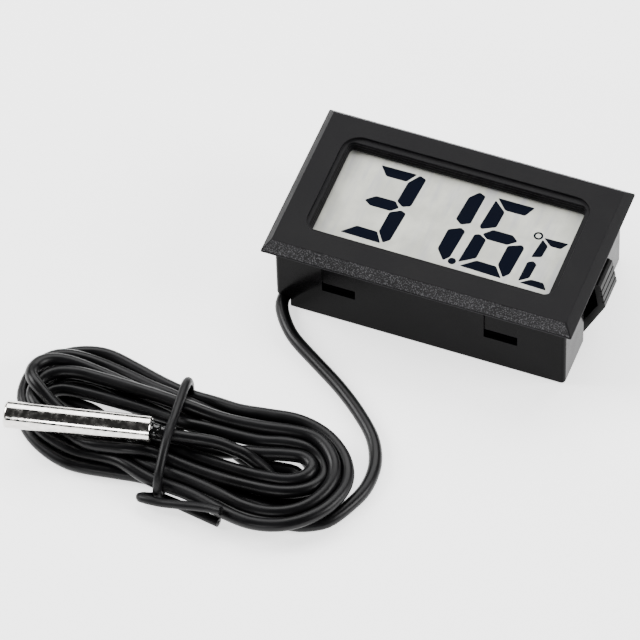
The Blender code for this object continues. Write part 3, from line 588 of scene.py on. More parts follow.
def ring_points(half_x, half_y, radius, height):
    points = []
    for corner, (sx, sy) in enumerate(((1, 1), (-1, 1), (-1, -1), (1, -1))):
        for step in range(CORNER_STEPS + 1):
            turn = math.pi / 2 * (corner + step / CORNER_STEPS)
            x = sx * (half_x - radius) + radius * math.cos(turn)
            y = sy * (half_y - radius) + radius * math.sin(turn)
            points.append(Vector((x, y, height)) * MM)
    return points


TONGUE_MIDDLE, TONGUE_HALF = 12.6, 2.3
TONGUE_OUTLINE = (
    (10.17, 13.62), (10.17, 6.3), (11.07, 6.3), (12.27, 6.75), (12.27, 7.2), (11.07, 7.2),
    (11.07, 13.62),
)


def tongue(shape, side, end):
    """One snap tongue: the side view pushed out along the display."""
    middle = end * TONGUE_MIDDLE
    near, far = (
        [(x, side * y, z) for y, z in TONGUE_OUTLINE]
        for x in (middle - TONGUE_HALF, middle + TONGUE_HALF)
    )
    between(shape, near, far, 2)


def make_frame():
    shape = bmesh.new()
    rings = [[shape.verts.new(point) for point in ring_points(*ring)] for ring in FRAME_RINGS]
    for n, ring in enumerate(rings):
        for k, face in enumerate(skin(shape, ring, rings[(n + 1) % len(rings)])):
            long_side = abs(ring[k].co.y - ring[(k + 1) % len(ring)].co.y) < 0.01 * MM
            # The long chamfer strips get the lighter black with painted glints, painted light on
            # the grain.
            face.material_index = 1 if n == CHAMFER_RING and long_side else 0
    for side in (-1, 1):
        for end in (-1, 1):
            tongue(shape, side, end)
    piece = link("front_frame", mesh_from(shape, "front_frame"), None)
    for look in ("face_black", "chamfer_black_painted_light", "painted_shade_black"):
        piece.data.materials.append(LOOKS[look])
    even_shading(piece)
    return place(piece, "instrument", "grained_black", "front_bezel")


front_frame = make_frame()
print("frame faces:", len(front_frame.data.polygons))

# %% [markdown]
# ## The display
#
# A real segment is a patch of liquid crystal that turns dark.  Each is drawn here
# as a very thin prism just above the film, with its corners cut back a little as
# they are on the glass.  Each is also swollen by a thin rim of painted shadow, which
# stands for the shadow that the segment casts on the reflector behind it.

# %% Draw the reading
SEGMENT_CUT = 0.16
SEGMENT_SHADOW_SWELL = 0.1
SEGMENT_LOW, SEGMENT_HIGH = 13.075, 13.09
SEGMENTS = (
    # 3
    ((-13.05, 7.25), (-7.65, 7.3), (-8.7, 5.6), (-11.7, 5.6)),
    ((-7.05, 7.2), (-6.0, 6.75), (-6.4, 1.5), (-7.5, 0.95), (-8.55, 1.7), (-8.25, 5.4)),
    ((-13.1, 0.3), (-11.75, 1.45), (-8.9, 1.45), (-8.0, 0.5), (-9.0, -0.4), (-12.05, -0.4)),
    ((-7.4, 0.1), (-6.6, -0.3), (-7.05, -5.5), (-7.9, -6.3), (-9.1, -4.5), (-8.9, -0.8)),
    ((-14.4, -6.5), (-12.45, -4.75), (-9.45, -4.8), (-8.3, -6.6)),
    # 1
    ((2.25, 7.2), (3.3, 6.75), (2.95, 1.4), (1.7, 0.75), (0.7, 1.5), (1.1, 5.75)),
    ((1.95, 0.0), (2.7, -0.45), (2.25, -5.5), (1.5, -6.4), (0.1, -4.6), (0.3, -0.9)),
    # 6
    ((5.25, 7.2), (10.8, 7.2), (9.9, 5.4), (7.0, 5.4)),
    ((5.0, 6.6), (6.9, 4.9), (6.7, 2.0), (4.8, 0.95), (4.45, 1.4)),
    ((5.4, 0.1), (6.6, 1.25), (9.5, 1.25), (10.5, 0.4), (9.25, -0.6), (6.25, -0.6)),
    ((4.25, -0.5), (4.95, -0.2), (6.1, -0.9), (5.9, -4.4), (3.7, -5.95)),
    ((11.4, -0.05), (11.9, -0.5), (11.5, -5.5), (10.75, -6.45), (9.4, -4.5), (9.55, -0.9)),
    ((4.2, -6.6), (6.25, -4.95), (9.1, -5.0), (10.5, -6.8)),
    # C
    ((14.1, 2.4), (17.7, 2.5), (16.9, 1.3), (15.5, 1.3)),
    ((13.95, 1.95), (15.0, 1.0), (14.8, -1.0), (13.45, -1.5)),
    ((13.95, -2.3), (14.6, -2.75), (14.4, -5.25), (13.1, -6.3), (13.25, -2.75)),
    ((13.45, -6.6), (14.9, -5.6), (16.6, -5.6), (17.4, -6.7)),
)
POINT_CENTRE, POINT_RADIUS = (2.8, -6.2), 0.6
DEGREE_CENTRE, DEGREE_OUTER, DEGREE_INNER = (13.1, 2.5), 0.72, 0.42


def cut_corners(outline, back):
    """Swells the outline by a thin rim of painted shadow and cuts each corner back along its two
    edges.
    """
    points = [Vector(point) for point in outline]
    middle = sum(points, Vector((0, 0))) / len(points)
    # The swell is painted shadow: the segment's shadow on the reflector, drawn in the segment's
    # dark colour.
    points = [point + (point - middle).normalized() * SEGMENT_SHADOW_SWELL for point in points]
    made = []
    for before, here, after in zip(points[-1:] + points, points, points[1:] + points[:1]):
        for other in (before, after):
            step = other - here
            made.append(here + step.normalized() * min(back, step.length / 3))
    area = sum(a.x * b.y - b.x * a.y for a, b in zip(made, made[1:] + made[:1]))
    return made if area > 0 else made[::-1]


def circle(centre, radius, steps=24):
    turns = [2 * math.pi * n / steps for n in range(steps)]
    return [
        (centre[0] + radius * math.cos(t), centre[1] + radius * math.sin(t)) for t in turns
    ]


def make_reading():
    shape = bmesh.new()
    low, high = SEGMENT_LOW * MM, SEGMENT_HIGH * MM
    for outline in SEGMENTS:
        corners = cut_corners(outline, SEGMENT_CUT)
        prism(shape, [(x * MM, y * MM) for x, y in corners], low, high)
    dot = circle(POINT_CENTRE, POINT_RADIUS)
    prism(shape, [(x * MM, y * MM) for x, y in dot], low, high)
    outer, inner = circle(DEGREE_CENTRE, DEGREE_OUTER), circle(DEGREE_CENTRE, DEGREE_INNER)
    walls = [
        [shape.verts.new((x * MM, y * MM, z)) for x, y in line]
        for line, z in ((outer, low), (outer, high), (inner, high), (inner, low))
    ]
    for n, wall in enumerate(walls):
        skin(shape, wall, walls[(n + 1) % 4])
    piece = link("reading", mesh_from(shape, "reading"), LOOKS["segment"], smooth=False)
    return place(piece, "instrument", "display")


reading = make_reading()
print("display pieces:", len(SEGMENTS) + 2)

# %% [markdown]
# ## Housing, spring clips and battery cover
#
# The housing and the battery cover are the plain pieces of the frame with the
# sharp edges rounded, as a mould leaves them.  A bevel on a copy keeps every size
# and slot where it was.

# %% Round the edges of the glossy mouldings
housing = place(
    softened("rear_housing", "housing", LOOKS["glossy_black"], 0.12 * MM),
    "instrument", "glossy_black", "rear_housing",
)
cover = place(
    softened("battery_cover", "cover", LOOKS["glossy_black"], 0.08 * MM),
    "cover", "glossy_black", "battery_cover",
)

# %% [markdown]
# Each spring clip is a bent strip with ridges for a fingernail.  A thinner web of
# painted shade, in a black without gloss, is added behind the bend, only to keep the
# bright table from showing through: it isn't known from the real clip, and the plain
# clip has none.  Both are a side view pushed out along the display's height, mirrored
# for the other end.

# %% Push out the side views of the clips
CLIP_TEETH, TOOTH_DEPTH = 4, 0.35
# shares of a tooth: its flat, the slope down, and where the next one begins
TOOTH_FLAT, TOOTH_SLOPE, TOOTH_NEXT = 0.8, 0.06, 1.04
TOOTH = ((TOOTH_FLAT, 0.0), (TOOTH_FLAT + TOOTH_SLOPE, TOOTH_DEPTH), (1.0, TOOTH_DEPTH))
CLIP_HALF_WIDTH, SHADE_WEB_HALF_WIDTH = 2.65, 2.35
CLIP_FOOT, CLIP_ELBOW, CLIP_TIP = (22.1, 0.35), (25.3, 7.6), (24.45, 12.3)


def strip_outline():
    """Outside of the strip from the foot to the tip, then its inside back."""
    outline = [CLIP_FOOT, CLIP_ELBOW]
    rise = (CLIP_TIP[0] - CLIP_ELBOW[0], CLIP_TIP[1] - CLIP_ELBOW[1])
    for tooth in range(CLIP_TEETH):
        for share, depth in TOOTH:
            along = (tooth + share) / CLIP_TEETH
            outline.append(
                (CLIP_ELBOW[0] + rise[0] * along - depth, CLIP_ELBOW[1] + rise[1] * along)
            )
        if tooth < CLIP_TEETH - 1:
            along = (tooth + TOOTH_NEXT) / CLIP_TEETH
            outline.append((CLIP_ELBOW[0] + rise[0] * along, CLIP_ELBOW[1] + rise[1] * along))
    outline += [(23.45, 12.3), (24.12, 7.6), (21.1, 1.35), (21.1, 0.35)]
    return outline


SHADE_WEB_OUTLINE = ((21.3, 1.2), (24.3, 7.6), (23.6, 12.1), (23.1, 12.1), (21.2, 4.0))


def make_clip(name, end, body, node):
    shape = bmesh.new()
    for outline, half, index in (
        (strip_outline(), CLIP_HALF_WIDTH, 0),
        (SHADE_WEB_OUTLINE, SHADE_WEB_HALF_WIDTH, 1),
    ):
        near, far = ([(end * x, y, z) for x, z in outline] for y in (-half, half))
        between(shape, near, far, index)
    piece = link(name, mesh_from(shape, name), None, smooth=False)
    piece.data.materials.append(LOOKS["clip_black"])
    # The web takes the black without gloss: painted shade.
    piece.data.materials.append(LOOKS["painted_shade_black"])
    rounding = piece.modifiers.new("rounding", "BEVEL")
    rounding.width, rounding.segments = 0.04 * MM, 1
    rounding.use_clamp_overlap = True
    return place(piece, body, "glossy_black", node)


clip_left = make_clip("clip_left", -1, "left_clip", "side_clip_left")
clip_right = make_clip("clip_right", 1, "right_clip", "side_clip_right")
print("clip faces:", len(clip_left.data.polygons), len(clip_right.data.polygons))

# %% [markdown]
# The two pockets that the clips bend into are deep and narrow, so little light
# reaches them.  Their faces take painted shade: a black without gloss, which is a
# choice of look and not a finish known from the real piece.

# %% Paint shade into the pockets
POCKET_INNER, POCKET_OUTER, POCKET_HALF = 19.35 * MM, 22.4 * MM, 4.3 * MM
housing.data.materials.append(LOOKS["painted_shade_black"])
painted_shade_faces = 0
for face in housing.data.polygons:
    points = [housing.data.vertices[v].co for v in face.vertices]
    if POCKET_INNER < abs(face.center.x) < POCKET_OUTER and all(
        abs(point.y) < POCKET_HALF and POCKET_INNER < abs(point.x) for point in points
    ):
        face.material_index = 1
        painted_shade_faces += 1
print("pocket faces:", painted_shade_faces)

# %% [markdown]
# ## Rows of small bars
#
# The rubber strips between the display and the board are made of many thin layers,
# and the board has a comb of contact pads below them.  Both are one short bar
# repeated in a line, so one Geometry Nodes tree makes them all.  Its result is
# made a plain mesh, since the bars don't change afterwards.


# %% A Geometry Nodes tree for a row of bars
def bar_tree():
    tree = bpy.data.node_groups.new("row_of_bars", "GeometryNodeTree")
    tree.interface.new_socket("Geometry", in_out="OUTPUT", socket_type="NodeSocketGeometry")
    for label, kind in (
        ("Count", "NodeSocketInt"),
        ("Start", "NodeSocketVector"),
        ("Pitch", "NodeSocketVector"),
        ("Size", "NodeSocketVector"),
        ("Unevenness", "NodeSocketFloat"),
        ("Seed", "NodeSocketInt"),
        ("Material", "NodeSocketMaterial"),
    ):
        tree.interface.new_socket(label, in_out="INPUT", socket_type=kind)
    make = Nodes(tree)
    given, out = make.add("NodeGroupInput"), make.add("NodeGroupOutput")
    line = make.add("GeometryNodeMeshLine", Count=given.outputs["Count"])
    make.feed(line, "Start Location", given.outputs["Start"])
    make.feed(line, "Offset", given.outputs["Pitch"])
    bar = make.add("GeometryNodeMeshCube", Size=given.outputs["Size"])
    least = make.add("ShaderNodeMath", {"operation": "SUBTRACT"})
    make.feed(least, 0, 1.0)
    make.feed(least, 1, given.outputs["Unevenness"])
    spread = make.add("FunctionNodeRandomValue", {"data_type": "FLOAT"})
    make.feed(spread, 2, least.outputs[0])
    make.feed(spread, 3, 1.0)
    make.feed(spread, "Seed", given.outputs["Seed"])
    copies = make.add("GeometryNodeInstanceOnPoints")
    make.feed(copies, "Points", line.outputs["Mesh"])
    make.feed(copies, "Instance", bar.outputs["Mesh"])
    make.feed(copies, "Scale", spread.outputs[1])
    real = make.add("GeometryNodeRealizeInstances", Geometry=copies.outputs["Instances"])
    painted = make.add("GeometryNodeSetMaterial", Geometry=real.outputs["Geometry"])
    make.feed(painted, "Material", given.outputs["Material"])
    make.feed(out, "Geometry", painted.outputs["Geometry"])
    return tree


BAR_TREE = bar_tree()


def bar_row(name, look, **values):
    """Runs the tree once and keeps the result as a plain mesh."""
    holder = linked(name + "_maker", bpy.data.meshes.new(name + "_maker"))
    maker = holder.modifiers.new("row", "NODES")
    maker.node_group = BAR_TREE
    for item in BAR_TREE.interface.items_tree:
        if item.in_out == "INPUT" and item.name in values:
            maker[item.identifier] = values[item.name]
        elif item.in_out == "INPUT" and item.name == "Material":
            maker[item.identifier] = look
    graph = bpy.context.evaluated_depsgraph_get()
    graph.update()
    mesh = bpy.data.meshes.new_from_object(holder.evaluated_get(graph))
    bpy.data.objects.remove(holder)
    mesh.name = name
    return linked(name, mesh)


tree_items = BAR_TREE.interface.items_tree
print("tree inputs:", [item.name for item in tree_items if item.in_out == "INPUT"])

# %% [markdown]
# The layers stand out of the rubber strips by a hair, and the pads lie on the board
# under them.

# %% Layers of the rubber strips and pads of the board
LAYER_PITCH, LAYER_COUNT = 0.5, 66
PAD_PITCH, PAD_COUNT = 1.1, 30


def strip_layers(name, strip):
    low, high = box_of(strip)
    middle, size = (low + high) / 2, high - low
    start = Vector((-(LAYER_COUNT - 1) / 2 * LAYER_PITCH * MM, middle.y, middle.z))
    bars = bar_row(
        name,
        LOOKS["carbon"],
        Count=LAYER_COUNT,
        Start=start,
        Pitch=(LAYER_PITCH * MM, 0.0, 0.0),
        Size=(0.2 * MM, size.y + 0.04 * MM, size.z - 0.02 * MM),
        Unevenness=0.0,
        Seed=3,
    )
    return place(bars, "instrument", "zebra")


def board_pads(name, strip):
    low, high = box_of(strip)
    board_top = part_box("circuit_board")[1][2]
    start = Vector((-(PAD_COUNT - 1) / 2 * PAD_PITCH * MM, (low.y + high.y) / 2, board_top))
    bars = bar_row(
        name,
        LOOKS["copper"],
        Count=PAD_COUNT,
        Start=start,
        Pitch=(PAD_PITCH * MM, 0.0, 0.0),
        Size=(0.6 * MM, (high.y - low.y) * 0.95, 0.03 * MM),
        Unevenness=0.04,
        Seed=5,
    )
    return place(bars, "instrument", "copper")


for end in ("upper", "lower"):
    strip_layers(f"strip_layers_{end}", f"zebra_strip_{end}")
    board_pads(f"board_pads_{end}", f"zebra_strip_{end}")
print("bars:", 2 * (LAYER_COUNT + PAD_COUNT))

# %% [markdown]
# ## Cells
#
# A button cell is a pressed can closed by a smaller cap over a dark seal.  It is
# turned from one profile, so the rolled rim and the seal's groove are real.

# %% Turn the two button cells
def cell_profile(radius, bottom, top):
    """Cap at the bottom or the top; the groove between can and cap is the seal."""
    cap, rise = radius - 1.4 * MM, 0.5 * MM
    body = top - rise
    return [
        (0.0, bottom),
        (radius - 0.35 * MM, bottom),
        (radius - 0.1 * MM, bottom + 0.1 * MM),
        (radius, bottom + 0.35 * MM),
        (radius, body - 0.3 * MM),
        (radius - 0.12 * MM, body - 0.06 * MM),
        (radius - 0.45 * MM, body),
        (cap + 0.45 * MM, body),
        (cap + 0.25 * MM, body - 0.2 * MM),
        (cap + 0.02 * MM, body - 0.1 * MM),
        (cap, top - 0.25 * MM),
        (cap - 0.2 * MM, top - 0.03 * MM),
        (cap - 0.45 * MM, top),
        (0.0, top),
    ]


def cap_is_up(node):
    """True if the plain cell is narrower at its top than at its bottom."""
    low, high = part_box(node)
    middle = ((low[0] + high[0]) / 2, (low[1] + high[1]) / 2)
    wide = {"low": 0.0, "high": 0.0}
    for vertex in nodes[node].data.vertices:
        reach = math.hypot(vertex.co.x - middle[0], vertex.co.y - middle[1])
        for key, height in (("low", low[2]), ("high", high[2])):
            if abs(vertex.co.z - height) < 1e-5:
                wide[key] = max(wide[key], reach)
    return wide["high"] < wide["low"]


def make_cell(node, name):
    low, high = box_of(node)
    height = high.z - low.z
    move = Matrix.Translation(((low.x + high.x) / 2, (low.y + high.y) / 2, low.z))
    if not cap_is_up(node):
        move = move @ Matrix.Translation((0, 0, height)) @ Matrix.Rotation(math.pi, 4, "X")
    profile = cell_profile((high.x - low.x) / 2, 0.0, height)
    piece = turned(name, profile, LOOKS["nickel"], to_world=move)
    return place(piece, "instrument", "nickel", node)


make_cell("battery_cell_left", "cell_left")
make_cell("battery_cell_right", "cell_right")
print("cells turned: 2")

# %% [markdown]
# ## Pieces that keep their plain shape
#
# The pieces inside the housing already have their true shape, and only need
# the finish of what they are made of.

# %% Give the inner pieces their finishes
INNER = {
    "display": "lcd_polariser",
    "glass": "lcd_front_glass lcd_rear_glass",
    "reflector": "lcd_reflector",
    "zebra": "zebra_strip_upper zebra_strip_lower",
    "board": "circuit_board",
    "epoxy": "chip_blob resistor_upper resistor_lower probe_sealant thermistor_bead",
    "nickel": "crystal_can contact_positive contact_negative contact_bridge",
    "ceramic": "capacitor_upper capacitor_lower",
    "glue": "cord_anchor",
    "red_insulation": "conductor_red",
    "cord_black": "conductor_black",
    "copper": "thermistor_leg_a thermistor_leg_b",
}
inner_count = 0
for look, names in INNER.items():
    for node in names.split():
        nodes[node].data.materials.clear()
        nodes[node].data.materials.append(LOOKS[look])
        inner_count += 1
print("inner pieces:", inner_count)

# %% [markdown]
# ## The cord's route
#
# The cord is one piece from the instrument to the probe, a little over 0.8 m as laid
# here.  It is written as the points its middle passes through, in millimetres: the
# lead on the table, seven turns of the hank, and the tail that rises to the probe.

# %% Write down the lead, the turns and the tail
CORD_DIAMETER = 2.0 * MM
FLOOR_Z = 1.02
CORNER = Vector((-22.55, -12.57, 0.0))
LEAD = (
    (5.2, 5.5, 4.4),
    (3.9, 5.1, 3.7),
    (2.7, 4.3, 2.8),
    (1.7, 3.0, 1.8),
    (1.15, 1.6, 1.15),
    (1.05, 0.0, 1.02),
    (1.48, -1.45, 1.02),
    (2.70, -3.39, 1.02),
    (4.40, -5.36, 1.02),
    (6.45, -6.99, 1.02),
    (9.57, -9.01, 1.02),
    (14.77, -12.41, 1.02),
    (19.25, -16.03, 1.02),
    (22.62, -19.64, 1.02),
    (24.47, -23.76, 1.02),
    (24.69, -28.06, 1.02),
    (23.59, -31.68, 1.02),
    (21.83, -35.15, 1.02),
    (20.10, -36.60, 1.02),
    (18.10, -37.45, 1.02),
    (15.90, -37.70, 1.02),
)
TAIL = (
    (7.10, -30.25, 3.95),
    (5.40, -30.30, 4.35),
    (3.40, -30.50, 4.90),
    (1.00, -30.90, 5.22),
    (-1.50, -31.35, 5.25),
    (-3.60, -31.75, 5.40),
    (-5.20, -32.10, 5.80),
    (-6.65, -32.43, 6.20),
    (-8.41, -32.81, 6.20),
)
TURNS = (
    # 1: along the bottom on the table, round the left end, out and over the lead
    (
        (-11.5, -50.9, 1.0), (-16.0, -50.6, 1.0), (-21.5, -49.8, 1.0), (-27.0, -49.5, 1.0),
        (-33.0, -49.9, 1.0), (-39.5, -50.3, 1.0), (-44.6, -49.0, 1.0), (-48.3, -46.2, 1.0),
        (-50.1, -42.0, 1.0), (-50.1, -37.5, 1.0), (-48.5, -33.7, 1.0), (-45.5, -31.6, 1.0),
        (-41.8, -30.9, 1.0), (-37.0, -31.9, 1.0), (-32.0, -33.2, 1.0), (-27.0, -34.1, 1.0),
        (-21.0, -34.6, 1.6), (-15.5, -34.2, 2.4), (-10.8, -33.9, 2.9), (-6.5, -34.9, 2.9),
        (-2.6, -37.6, 2.9), (-0.6, -41.0, 2.9), (-0.6, -44.4, 2.9), (-2.5, -48.7, 3.0),
    ),
    # 2: bottom above the first, then the leftmost loop
    (
        (-6.0, -52.0, 3.0), (-10.5, -53.4, 3.0), (-15.5, -52.8, 2.9), (-21.0, -51.4, 2.8),
        (-27.0, -50.8, 2.7), (-33.0, -49.0, 2.8), (-39.5, -48.6, 2.8), (-45.2, -47.4, 2.8),
        (-48.8, -44.4, 2.8), (-50.3, -40.5, 2.9), (-49.9, -37.0, 2.9), (-48.1, -34.6, 2.7),
        (-45.0, -33.6, 2.3), (-40.5, -33.5, 1.6), (-34.0, -34.9, 1.9), (-30.0, -35.9, 2.4),
        (-27.0, -36.1, 1.6), (-21.0, -36.6, 1.0), (-15.0, -35.8, 1.0), (-9.5, -35.6, 1.0),
        (-5.4, -37.0, 1.0), (-2.8, -40.6, 1.0), (-2.7, -44.2, 1.0), (-4.6, -47.8, 1.0),
    ),
    # 3: lower layer, one in from the first
    (
        (-9.0, -49.2, 1.0), (-15.0, -48.6, 1.0), (-21.0, -47.8, 1.0), (-27.0, -47.5, 1.0),
        (-33.0, -47.8, 1.0), (-39.5, -48.2, 1.0), (-44.2, -47.0, 1.0), (-47.4, -43.9, 1.0),
        (-48.5, -40.4, 1.0), (-46.9, -37.0, 1.0), (-43.5, -35.4, 1.0), (-39.5, -35.5, 1.0),
        (-33.5, -36.7, 1.0), (-27.0, -37.8, 1.0), (-21.0, -38.4, 1.0), (-15.0, -37.8, 1.0),
        (-10.0, -37.6, 1.0), (-6.6, -38.8, 1.0), (-4.8, -41.6, 1.0), (-5.2, -44.8, 1.0),
    ),
    # 4: innermost of the lower layer, rising to a small loop on the right
    (
        (-9.0, -47.1, 1.0), (-15.0, -46.7, 1.0), (-21.0, -45.8, 1.0), (-27.0, -45.5, 1.0),
        (-33.0, -44.4, 1.0), (-36.6, -42.6, 1.0), (-40.2, -41.1, 1.0), (-44.0, -40.7, 1.0),
        (-46.3, -39.4, 1.0), (-45.9, -37.8, 1.0), (-43.2, -37.2, 1.0), (-39.5, -37.4, 1.0),
        (-33.5, -38.7, 1.0),
        (-27.0, -41.5, 1.0), (-21.0, -42.2, 1.2), (-15.0, -41.7, 2.2), (-10.5, -40.1, 2.6),
        (-7.4, -39.4, 2.8), (-5.4, -40.8, 2.9), (-5.9, -43.2, 3.0), (-8.2, -44.6, 3.0),
    ),
    # 5: back along the bottom in the upper layer
    (
        (-11.0, -45.0, 2.9), (-15.0, -45.3, 2.9), (-21.0, -45.2, 2.9), (-27.0, -44.9, 2.9),
        (-33.0, -45.4, 2.9), (-39.0, -46.6, 2.9), (-44.2, -46.2, 2.9), (-47.4, -44.4, 2.9),
        (-47.7, -42.3, 2.9), (-45.8, -40.5, 2.9), (-42.4, -39.9, 2.9), (-37.5, -39.7, 2.9),
        (-32.0, -39.7, 2.9), (-27.0, -39.8, 2.8), (-21.0, -39.4, 2.4), (-15.0, -38.9, 2.2),
        (-10.5, -37.9, 2.2), (-6.2, -38.4, 2.0), (-3.9, -41.2, 2.0), (-5.0, -44.6, 2.4),
    ),
    # 6: bottom of the upper layer, then over the others on the left
    (
        (-8.6, -46.8, 2.8), (-15.0, -47.5, 2.9), (-21.0, -47.5, 2.9), (-27.0, -47.1, 2.9),
        (-33.0, -47.4, 3.4), (-39.0, -48.3, 4.2), (-44.4, -47.1, 4.4), (-48.6, -44.1, 4.4),
        (-49.0, -41.2, 4.5), (-47.3, -38.9, 4.5), (-44.2, -37.8, 4.5), (-40.5, -37.6, 4.4),
        (-35.0, -37.7, 4.4), (-30.0, -38.0, 4.4), (-27.0, -38.2, 4.2), (-21.0, -37.9, 3.4),
        (-15.5, -37.3, 3.1), (-10.8, -36.9, 3.0), (-6.5, -37.4, 3.0), (-3.4, -40.0, 3.0),
        (-2.3, -43.0, 3.0), (-2.9, -46.2, 3.0), (-5.0, -49.0, 3.0),
    ),
    # 7: last bottom run, a middle loop on the left, and down under the right end
    (
        (-8.5, -50.8, 3.0), (-12.5, -51.1, 3.0), (-17.0, -50.2, 2.9), (-21.5, -49.5, 2.8),
        (-27.0, -48.9, 2.8), (-33.0, -47.4, 2.9), (-39.0, -46.9, 4.4), (-44.2, -45.7, 4.5),
        (-48.5, -43.2, 4.5), (-49.9, -40.3, 4.4), (-49.0, -37.5, 4.3), (-46.0, -36.0, 3.8),
        (-41.0, -35.8, 3.0), (-35.0, -36.6, 2.8), (-27.0, -37.6, 2.7), (-21.5, -39.6, 1.2),
        (-16.5, -41.9, 1.0), (-13.3, -42.1, 1.0), (-10.5, -41.6, 1.0), (-8.1, -41.5, 1.0),
        (-6.8, -42.8, 1.0), (-7.6, -44.4, 1.0), (-9.9, -44.5, 1.15), (-12.7, -43.4, 2.6),
    ),
)


def to_metres(points):
    return [Vector(point) * MM for point in points]


lead = [CORNER * MM + Vector(point) * MM for point in LEAD]
tail = [CORNER * MM + Vector(point) * MM for point in TAIL]
turns = [point for turn in TURNS for point in to_metres(turn)]
print("points in the lead, turns and tail:", len(lead), len(turns), len(tail))

# %% [markdown]
# The points are joined by a smooth curve and cut into short steps.  Real cord can't
# pass through itself, so the steps are then settled: each is pushed away from
# any other part of the cord that is nearer than one diameter, kept off the table,
# and drawn towards its neighbours' middle.  The lead and the tail are held where the
# frame has them.  It stops a little short: some turns still press into each other by
# a quarter of a millimetre at most, and the folds of the innermost turns stay
# tighter than the two diameters that such a cord would take.


# %% Smooth the route and let the turns settle
def distances(line):
    """How far along the line each of its points is."""
    return np.concatenate([[0], np.cumsum(np.linalg.norm(np.diff(line, axis=0), axis=1))])


def line_length(line):
    return float(np.linalg.norm(np.diff(line, axis=0), axis=1).sum())


def smooth_route(points, spacing):
    """A Catmull-Rom curve through the points, as points a fixed spacing apart."""
    ends = [points[0] * 2 - points[1]] + points + [points[-1] * 2 - points[-2]]
    dense = []
    for before, start, end, after in zip(ends, ends[1:], ends[2:], ends[3:]):
        for step in range(12):
            t = step / 12
            dense.append(
                (
                    start * 2
                    + (end - before) * t
                    + (before * 2 - start * 5 + end * 4 - after) * t**2
                    + (start * 3 - before - end * 3 + after) * t**3
                )
                / 2
            )
    dense.append(points[-1])
    line = np.array(dense, float)
    along = distances(line)
    at = np.linspace(0, along[-1], int(along[-1] / spacing) + 1)
    return np.stack([np.interp(at, along, line[:, k]) for k in range(3)], axis=1)


SETTLE_ROUNDS = 220
STEP = 0.8 * MM


def settle(line, held_start, held_end, blocks, rounds=SETTLE_ROUNDS):
    """Pushes steps of the line apart for a fixed number of rounds, towards a diameter from each
    other.
    """
    line = line.copy()
    target = line.copy()
    count = len(line)
    free = np.ones(count, bool)
    free[:held_start] = False
    free[count - held_end :] = False
    clear = CORD_DIAMETER * 1.005
    skip = int(2.2 * CORD_DIAMETER / STEP)
    number = np.arange(count)
    for _ in range(rounds):
        push = np.zeros_like(line)
        gaps = line[:, None, :] - line[None, :, :]
        far = np.linalg.norm(gaps, axis=2)
        near = (far < clear) & (np.abs(number[:, None] - number[None, :]) > skip)
        i, j = np.nonzero(near)
        if len(i):
            away = gaps[i, j] / np.maximum(far[i, j], 1e-9)[:, None]
            need = (clear - far[i, j])[:, None] * 0.5
            np.add.at(push, i, away * need * 0.6)
            hits = np.bincount(i, minlength=count)[:, None]
            push /= np.maximum(hits, 1) ** 0.5
        for start, end, radius in blocks:
            axis = end - start
            share = np.clip(((line - start) @ axis) / (axis @ axis), 0, 1)
            off = line - (start + share[:, None] * axis)
            gap = np.linalg.norm(off, axis=1)
            short = np.maximum(radius + CORD_DIAMETER / 2 - gap, 0)
            push += off / np.maximum(gap, 1e-9)[:, None] * short[:, None]
        moved = line - target
        push -= moved * 0.01
        push[1:-1] += ((moved[:-2] + moved[2:]) / 2 - moved[1:-1]) * 0.45
        bend = (line[:-2] + line[2:]) / 2 - line[1:-1]
        push[1:-1] += bend * 0.03
        line[free] += push[free]
        line[:, 2] = np.where(free, np.maximum(line[:, 2], FLOOR_Z * MM), line[:, 2])
    return line, int(len(i)), float(far[near].min() if near.any() else clear)


rough = smooth_route(lead + turns + tail, STEP)
lead_steps = len(smooth_route(lead, STEP)) - 4
tail_steps = len(smooth_route(tail, STEP)) - 6
PROBE_REACH, PROBE_CLEAR = 21.5, 2.05  # length, and radius kept free round it
probe_low = (CORNER + Vector(TAIL[-2])) * MM
probe_turn = math.radians(12.1)
probe_dir = Vector((-math.cos(probe_turn), -math.sin(probe_turn), 0))
probe_end = probe_low + probe_dir * PROBE_REACH * MM
settled, still_near, least = settle(
    rough,
    lead_steps,
    tail_steps,
    [(np.array(probe_low), np.array(probe_end), PROBE_CLEAR * MM)],
)
REACH = 3  # steps on each side over which a bend is measured


def bend_radii(line):
    """Radius of the circle through each step and the two that are REACH steps away."""
    a, b, c = line[: -2 * REACH], line[REACH:-REACH], line[2 * REACH :]
    sides = [np.linalg.norm(p - q, axis=1) for p, q in ((b, a), (c, b), (c, a))]
    area = np.linalg.norm(np.cross(b - a, c - a), axis=1)
    return sides[0] * sides[1] * sides[2] / np.maximum(2 * area, 1e-12)


radii = bend_radii(settled)
tight = int(radii.argmin())
print("tightest bend", round(float(radii[tight]) / MM, 2), "mm at step", tight + REACH)

# %% [markdown]
# A curve with a round bevel gives the cord its thickness.

# %% Make the cord
def tube(name, line, diameter, look, resolution=4):
    curve = bpy.data.curves.new(name, "CURVE")
    curve.dimensions = "3D"
    spline = curve.splines.new("POLY")
    spline.points.add(len(line) - 1)
    spline.points.foreach_set("co", np.column_stack([line, np.ones(len(line))]).ravel())
    curve.bevel_depth = diameter / 2
    curve.bevel_resolution = resolution
    curve.use_fill_caps = True
    curve.materials.append(look)
    return linked(name, curve)


cord = tube("cord", settled, CORD_DIAMETER, LOOKS["cord_black"])
place(cord, "instrument", "cord_black", "cord_lead", "cord_hank", "cord_tail")
print("steps along the cord:", len(settled))

# %% [markdown]
# ## The tie
#
# The hank is held by a short piece of coated wire.  It passes over the hank in a
# flat arch, returns below it on the table, and its two ends are crossed and bent
# aside.  The cut ends show the bare core.

